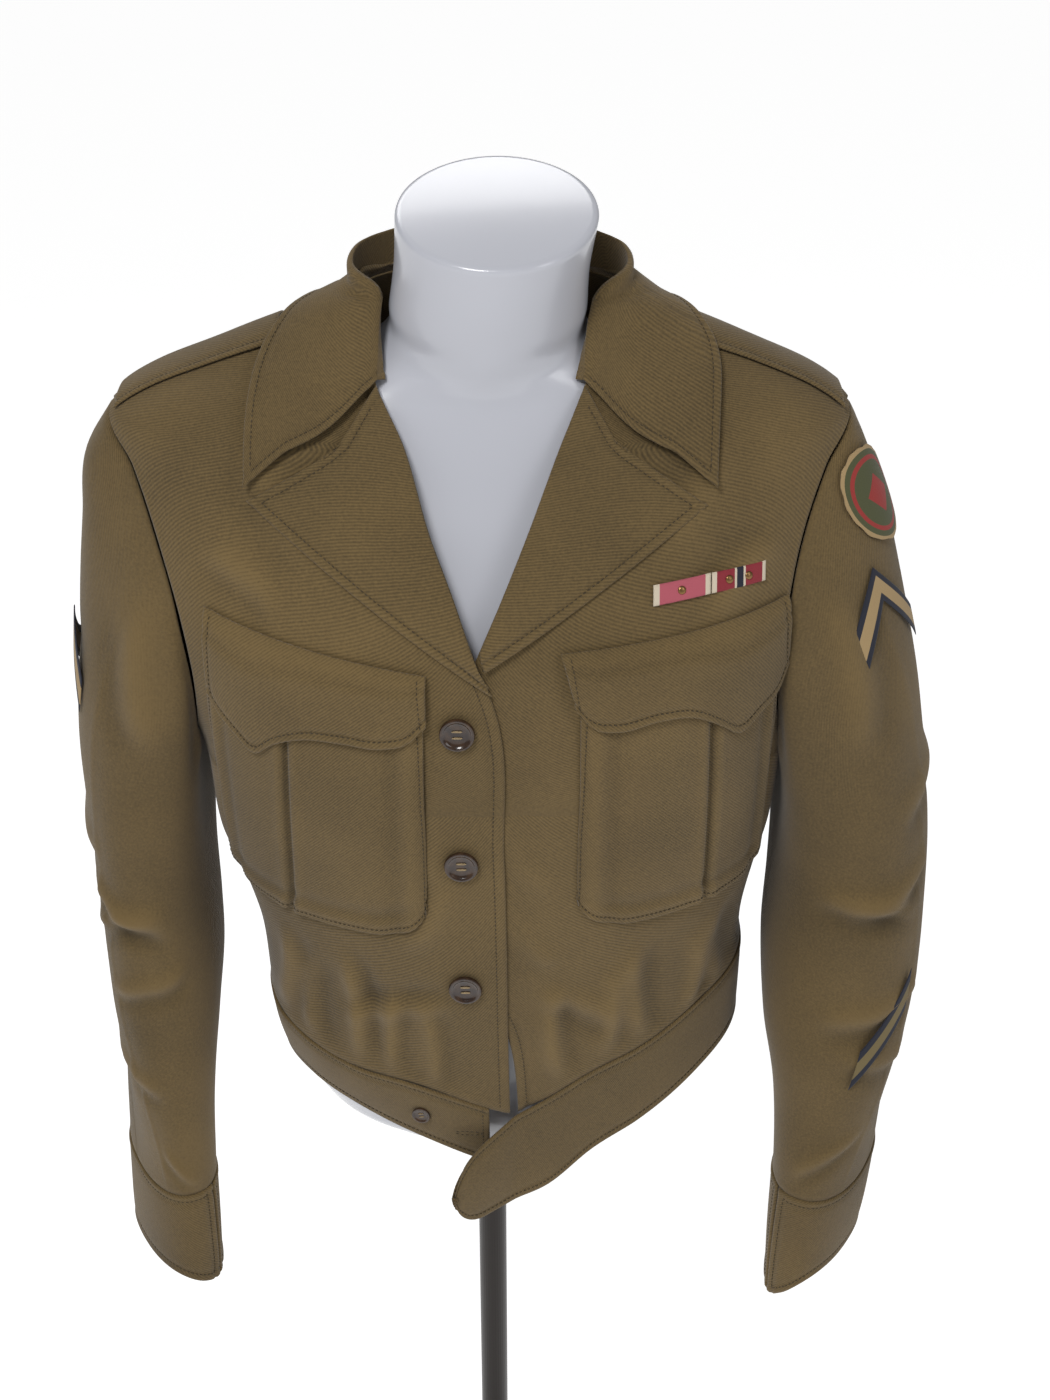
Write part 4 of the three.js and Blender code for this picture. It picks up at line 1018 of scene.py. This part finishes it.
def button(name, radius, spot, normal):
    r = radius
    profile = [
        (r * 0.3, 0), (r * 0.84, 0), (r * 0.95, r * 0.04), (r, r * 0.14), (r * 0.99, r * 0.24),
        (r * 0.95, r * 0.31), (r * 0.89, r * 0.33), (r * 0.82, r * 0.31), (r * 0.76, r * 0.25),
        (r * 0.7, r * 0.2), (r * 0.58, r * 0.165), (r * 0.3, r * 0.15), (r * 0.04, r * 0.15),
    ]
    points, faces = lathe(profile)
    made = mesh_object(name, placed(points, spot, normal), faces, HORN)
    holes = []
    for x, y in ((1, 1), (1, -1), (-1, 1), (-1, -1)):
        hole, hole_faces = lathe([(r * 0.085, -r * 0.1), (r * 0.085, r * 0.4)], 16)
        hole = hole + np.array([x * r * 0.2, y * r * 0.2, 0])
        holes.append(mesh_object("hole", placed(hole, spot, normal), hole_faces, HORN))
    for hole in holes:
        cut = made.modifiers.new("hole", "BOOLEAN")
        cut.operation = "DIFFERENCE"
        cut.solver = "EXACT"
        cut.object = hole
    result = bpy.data.meshes.new_from_object(made.evaluated_get(bpy.context.evaluated_depsgraph_get()))
    made.modifiers.clear()
    made.data = result
    for hole in holes:
        bpy.data.objects.remove(hole)
    made.data.shade_smooth()
    made.data.set_sharp_from_angle(angle=math.radians(40))
    threads, thread_faces = [], []
    for y in (-1, 1):
        bar, bar_faces = lathe([
            (r * 0.01, -r * 0.3), (r * 0.04, -r * 0.26), (r * 0.055, -r * 0.15), (r * 0.06, 0),
            (r * 0.055, r * 0.15), (r * 0.04, r * 0.26), (r * 0.01, r * 0.3),
        ], 12)
        bar = np.stack([bar[:, 2], bar[:, 1] + y * r * 0.2, bar[:, 0] + r * 0.19], axis=1)
        count = sum(len(t) for t in threads)
        threads.append(bar)
        thread_faces += [[v + count for v in f] for f in bar_faces]
    thread = mesh_object(f"{name}_thread", placed(np.concatenate(threads), spot, normal), thread_faces, THREAD)
    return made, thread


# ---------------------------------------------------------------- ribbons and badges
def ribbon(name, from_x, to_x, from_level, to_level, height, paint):
    u = steps(abs(to_x - from_x), 1.5)[None, :]
    v = mix(0.5, -0.5, steps(height, 1.5))[:, None]
    x = mix(from_x, to_x, u) + 0 * v
    level = mix(from_level, to_level, u) + v * height
    points = on_front(x, level, 2.4)
    ribs = 0.08 * np.sin(u * abs(to_x - from_x) * 2.2) + 0 * v
    return cloth(name, points, torso_normal(front_angle(x, level), level), 1.6, ribs, paint=paint, unit_uv=True)


def stud(name, x, level):
    spot = on_front(np.array(float(x)), np.array(float(level)), 2.35)
    angle = front_angle(np.array(float(x)), np.array(float(level)))
    points, faces = lathe([(2.6, 0), (2.6, 0.3), (2.1, 0.75), (1.2, 1.05), (0.2, 1.15)], 24)
    return mesh_object(name, placed(points, spot, torso_normal(angle, level)), faces, BRONZE)


def armhole_level(turn):
    return -ARMHOLE_DEPTH * (1 - np.cos(turn)) / 2


def badge_points(side, turn, t, across, down, out):
    h = 0.01
    rate_turn = np.linalg.norm(sleeve_point(side, turn + h, t) - sleeve_point(side, turn - h, t)) / (2 * h)
    rate_down = np.linalg.norm(sleeve_point(side, turn, t + h) - sleeve_point(side, turn, t - h)) / (2 * h)
    a = turn + across / rate_turn
    start, starts = armhole_level(turn), armhole_level(a)
    level = mix(start, SLEEVE_END[side], t + down / rate_down)
    b = np.maximum((level - starts) / (SLEEVE_END[side] - starts), 0.004)
    normals = sleeve_normal(side, a, b)
    return sleeve_point(side, a, b) + normals * out, normals


BADGE_OUT = 2.9


def strip(name, side, turn, t, half_width, rise, bend, thick, paint):
    u = np.linspace(-1, 1, 61)[None, :]
    v = np.linspace(-0.5, 0.5, 25)[:, None]
    down = bend * np.abs(u) + rise * u + v * thick
    points, normals = badge_points(side, turn, t, half_width * u + 0 * v, down, BADGE_OUT)
    return cloth(name, points, normals, 0.9, 0.0, paint=paint, unit_uv=True)


def round_patch(name, side, turn, t, radius):
    ring = np.concatenate([np.linspace(0.02, 0.96, 20), [0.99, 1]])[:, None]
    angle = np.linspace(0, 2 * math.pi, 73)[None, :-1]
    wobble = 1 + 0.012 * np.sin(9 * angle) + 0.01 * np.sin(17 * angle + 1)
    across = radius * ring * np.cos(angle) * mix(1, wobble, ring)
    down = radius * ring * np.sin(angle) * mix(1, wobble, ring)
    points, normals = badge_points(side, turn, t, across, down, BADGE_OUT)
    rows, columns = points.shape[:2]
    both = np.concatenate([points.reshape(-1, 3), (points - normals * 0.9).reshape(-1, 3)])
    under = rows * columns
    faces = []
    for c in range(columns):
        beside = (c + 1) % columns
        for r in range(rows - 1):
            a, b = r * columns + c, r * columns + beside
            faces.append([a, b, b + columns, a + columns])
            faces.append([a + columns + under, b + columns + under, b + under, a + under])
        a, b = (rows - 1) * columns + c, (rows - 1) * columns + beside
        faces.append([a, b, b + under, a + under])
    faces.append(list(range(columns))[::-1])
    faces.append([under + c for c in range(columns)])
    uv = np.stack([across / radius + 0 * angle, -down / radius + 0 * angle], axis=-1).reshape(-1, 2)
    made = mesh_object(name, both, faces, PATCH, np.concatenate([uv, uv]))
    made["cut"] = [2 * radius / 1000, 2 * radius / 1000, math.pi * (radius / 1000) ** 2]
    return made


# ---------------------------------------------------------------- the dress form
form_table = Table([
    [-541, 60, -48, 44, 4, 2.0, 0], [-536, 96, -76, 60, 5, 2.1, 0], [-522, 124, -98, 72, 6, 2.2, 0],
    [-500, 143, -110, 80, 7, 2.2, 0], [-460, 152, -115, 82, 7, 2.2, 0],
    [-400, 152, -118, 86, 6, 2.2, 0], [-330, 162, -122, 94, 3, 2.2, 0],
    [-250, 178, -124, 104, 0, 2.3, 0], [-170, 190, -123, 108, -2, 2.3, 0],
    [-110, 198, -117, 105, -3, 2.3, 0], [-60, 203, -94, 98, -4, 2.2, 0],
    [-25, 200, -75, 86, -4, 2.1, 0], [0, 193, -64, 76, -3, 2.0, 0.05],
    [16, 166, -58, 66, -3, 1.9, 0.1], [30, 122, -55, 57, -2, 1.8, 0.25],
    [42, 78, -56, 50, -1, 1.8, 0.45], [54, 62, -58, 47, 0, 1.9, 0.65],
    [70, 60, -61, 47, 1, 2.0, 0.8], [92, 58.5, -66, 47, 3, 2.0, 0.95],
    [124, 60, -73, 48, 6.5, 2.0, 1],
])


def dress_form():
    levels = np.concatenate([np.linspace(-541, -500, 16), np.linspace(-494, 40, 90), np.linspace(42, 124, 30)])
    turn = np.linspace(0, 2 * math.pi, 145)[None, :-1]
    up = levels[:, None]
    half, front, back, middle, square, lean = form_table(up)
    middle_y = (front + back) / 2
    shrink = np.ones_like(up)
    rows = []
    for extra, size in ((0, None), (1.2, 0.992), (2.0, 0.97), (2.4, 0.93)):
        pick = slice(None) if size is None else slice(-1, None)
        size = 1 if size is None else size
        depth = (back - front)[pick] / 2 * size
        y = middle_y[pick] + depth * signed_power(np.sin(turn), 2 / square[pick])
        x = middle[pick] + half[pick] * size * signed_power(np.cos(turn), 2 / square[pick])
        z = up[pick] + extra + math.tan(math.radians(16)) * (y - middle_y[pick]) * lean[pick]
        rows.append(np.stack([x, y, z], axis=-1))
    points = np.concatenate(rows)
    count, columns = points.shape[:2]
    spots = np.arange(count * columns).reshape(count, columns)
    beside = np.roll(spots, -1, axis=1)
    faces = np.stack([spots[:-1], beside[:-1], beside[1:], spots[1:]], axis=-1).reshape(-1, 4).tolist()
    faces.append(spots[0].tolist()[::-1])
    faces.append(spots[-1].tolist())
    return mesh_object("dress_form", points.reshape(-1, 3), faces, SHELL)


# ---------------------------------------------------------------- stitches
def stitch_tree():
    """Short lengths of thread one after another along the sewn lines."""
    tree = bpy.data.node_groups.new("stitches", "GeometryNodeTree")
    face = tree.interface
    face.new_socket("Geometry", in_out="INPUT", socket_type="NodeSocketGeometry")
    for name, value in (("Spacing", 0.0032), ("Length", 0.00115), ("Thickness", 0.0004)):
        face.new_socket(name, in_out="INPUT", socket_type="NodeSocketFloat").default_value = value
    face.new_socket("Thread", in_out="INPUT", socket_type="NodeSocketMaterial")
    face.new_socket("Geometry", in_out="OUTPUT", socket_type="NodeSocketGeometry")
    nodes, links = tree.nodes, tree.links
    start = nodes.new("NodeGroupInput")
    end = nodes.new("NodeGroupOutput")
    spots = nodes.new("GeometryNodeCurveToPoints")
    spots.mode = "LENGTH"
    links.new(start.outputs["Geometry"], spots.inputs["Curve"])
    links.new(start.outputs["Spacing"], spots.inputs["Length"])
    ball = nodes.new("GeometryNodeMeshUVSphere")
    ball.inputs["Segments"].default_value = 6
    ball.inputs["Rings"].default_value = 4
    ball.inputs["Radius"].default_value = 1.0
    vary = nodes.new("FunctionNodeRandomValue")
    vary.data_type = "FLOAT"
    vary.inputs[2].default_value = 0.85
    vary.inputs[3].default_value = 1.12
    vary.inputs["Seed"].default_value = 7
    size = nodes.new("ShaderNodeMath")
    size.operation = "MULTIPLY"
    links.new(start.outputs["Length"], size.inputs[0])
    links.new(vary.outputs[1], size.inputs[1])
    scale = nodes.new("ShaderNodeCombineXYZ")
    links.new(start.outputs["Thickness"], scale.inputs["X"])
    links.new(start.outputs["Thickness"], scale.inputs["Y"])
    links.new(size.outputs[0], scale.inputs["Z"])
    copies = nodes.new("GeometryNodeInstanceOnPoints")
    links.new(spots.outputs["Points"], copies.inputs["Points"])
    links.new(ball.outputs["Mesh"], copies.inputs["Instance"])
    links.new(spots.outputs["Rotation"], copies.inputs["Rotation"])
    links.new(scale.outputs[0], copies.inputs["Scale"])
    real = nodes.new("GeometryNodeRealizeInstances")
    links.new(copies.outputs[0], real.inputs[0])
    paint = nodes.new("GeometryNodeSetMaterial")
    links.new(real.outputs[0], paint.inputs["Geometry"])
    links.new(start.outputs["Thread"], paint.inputs["Material"])
    links.new(paint.outputs[0], end.inputs[0])
    return tree


def stitches(name, lines, thread):
    curve = bpy.data.curves.new(name, "CURVE")
    curve.dimensions = "3D"
    for line in lines:
        spline = curve.splines.new("POLY")
        spline.points.add(len(line) - 1)
        spline.points.foreach_set("co", np.concatenate([line, np.ones((len(line), 1))], axis=1).ravel())
    guide = bpy.data.objects.new(f"{name}_guide", curve)
    bpy.context.scene.collection.objects.link(guide)
    tree = stitch_tree()
    modifier = guide.modifiers.new("stitches", "NODES")
    modifier.node_group = tree
    for item in tree.interface.items_tree:
        if item.in_out == "INPUT" and item.name == "Thread":
            modifier[item.identifier] = thread
        elif item.in_out == "INPUT" and item.name in ("Spacing", "Length", "Thickness"):
            modifier[item.identifier] = item.default_value
    bpy.context.view_layer.update()
    graph = bpy.context.evaluated_depsgraph_get()
    mesh = bpy.data.meshes.new_from_object(guide.evaluated_get(graph))
    guide.modifiers.clear()
    bpy.data.objects.remove(guide)
    mesh.name = name
    mesh.materials.clear()
    mesh.materials.append(thread)
    mesh.shade_smooth()
    made = bpy.data.objects.new(name, mesh)
    bpy.context.scene.collection.objects.link(made)
    return made


# ---------------------------------------------------------------- assembly
form = dress_form()
declare(form, ["form"])

declare(back_panel(), ["back"], "hung")
for side in SIDES:
    declare(front_panel(side), [f"front_{side}"], "hung")
    declare(lapel(side), [f"lapel_{side}"], "folded")
    declare(sleeve(side), [f"sleeve_{side}"], "hung")
    declare(cuff(side), [f"cuff_{side}"], "hung")
    declare(pocket(side), [f"pocket_{side}"], "laid")
    declare(flap(side), [f"flap_{side}"], "laid")
    declare(shoulder_loop(side), [f"shoulder_loop_{side}"], "laid")
declare(collar_piece(), ["collar"], "folded")
declare(waistband("waistband_back", -360, -180, 470, "top bottom"), ["waistband_back"], "hung")
declare(waistband("waistband_right", -180, hem_angle("right") - 3, 260, "top bottom last"),
        ["waistband_right"], "hung")
declare(left_waistband(), ["waistband_left"], "hung")

for number, (x, level) in enumerate(((-18, -158), (-17, -254), (-16, -354)), 1):
    angle = front_angle(np.array(float(x)), np.array(float(level)))
    normal = torso_normal(angle, np.array(float(level)))
    made, thread = button(f"button_{number}", 11, on_torso(angle, float(level), 0.8), normal)
    declare(made, [f"button_{number}"])
    declare(thread, [])
spot, normal = band_spots(np.array(-106.5), np.array(0.5))
made, thread = button("waistband_button", 6.5, spot + normal * 0.6, normal)
declare(made, ["waistband_button"])
declare(thread, [])

declare(ribbon("ribbon_bar_1", 99, 133.6, -78, -75, 11.5, RIBBON_ROSE),
        ["ribbon_bar_1"], "laid")
declare(ribbon("ribbon_bar_2", 134.4, 168, -75, -74, 11.5, RIBBON_CRIMSON),
        ["ribbon_bar_2"], "laid")
for number, x in enumerate((116, 145, 157), 1):
    declare(stud(f"ribbon_device_{number}", x, -76.5 if x < 130 else -74.5), [])
declare(round_patch("shoulder_patch", "left", math.radians(20), 0.075, 31),
        ["shoulder_patch"], "laid")
declare(strip("chevron_left", "left", math.radians(38), 0.14, 34, 0, 42, 24, CHEVRON),
        ["chevron_left"], "laid")
declare(strip("chevron_right", "right", math.radians(15), 0.245, 34, 0, 40, 24, CHEVRON),
        ["chevron_right"], "laid")
declare(strip("service_stripe", "left", math.radians(65), 0.716, 18, 28, 0, 32, SERVICE),
        ["service_stripe"], "laid")

turn = np.linspace(0, 2 * math.pi, 40)
hole_x, hole_level = -16 + 9 * np.cos(turn), -484 + 1.6 * np.sin(turn)
sewn_lines.append(in_metres(on_front(hole_x, hole_level, 1.2)))
declare(stitches("topstitching", sewn_lines, SEWING), [])

for name in ("stand_pole", "stand_base"):
    node = bpy.data.objects[name]
    node.data.materials.clear()
    node.data.materials.append(STEEL)

# ---------------------------------------------------------------- floor, lamps and camera
floor_mesh = bpy.data.meshes.new("floor")
floor_mesh.from_pydata([(-9, -9, 0), (9, -9, 0), (9, 9, 0), (-9, 9, 0)], [], [(0, 1, 2, 3)])
floor = bpy.data.objects.new("floor", floor_mesh)
bpy.context.scene.collection.objects.link(floor)
FLOOR = material("white floor", (0.5, 0.5, 0.5), 0.9)
FLOOR.node_tree.nodes["Principled BSDF"].inputs["Emission Color"].default_value = (1, 1, 1, 1)
FLOOR.node_tree.nodes["Principled BSDF"].inputs["Emission Strength"].default_value = 0.86
floor_mesh.materials.append(FLOOR)

world = bpy.data.worlds.new("studio")
bpy.context.scene.world = world
world.use_nodes = True
background = world.node_tree.nodes["Background"]
background.inputs["Color"].default_value = (1, 1, 1, 1)
background.inputs["Strength"].default_value = 0.22


def lamp(name, place, target, size, power):
    data = bpy.data.lights.new(name, "AREA")
    data.shape = "RECTANGLE"
    data.size, data.size_y = size
    data.energy = power
    made = bpy.data.objects.new(name, data)
    made.location = place
    made.rotation_euler = (Vector(target) - Vector(place)).to_track_quat("-Z", "Y").to_euler()
    bpy.context.scene.collection.objects.link(made)


lamp("key", (-0.7, -1.5, 3.0), (0, 0, 0.95), (0.8, 0.8), 37)
lamp("fill", (1.7, -1.3, 2.2), (0, 0, 0.9), (0.7, 1.4), 9)
lamp("rim", (-0.3, 1.6, 2.6), (0, 0, 1.1), (1.4, 0.6), 12)

camera_data = bpy.data.cameras.new("camera")
camera_data.lens = 48.86
camera_data.sensor_width = 36
camera = bpy.data.objects.new("camera", camera_data)
camera.location = (0.026, -1.120, 1.584)
camera.rotation_euler = (math.radians(60), 0, 0)
bpy.context.scene.collection.objects.link(camera)
bpy.context.scene.camera = camera
bpy.context.scene.view_settings.view_transform = "Standard"
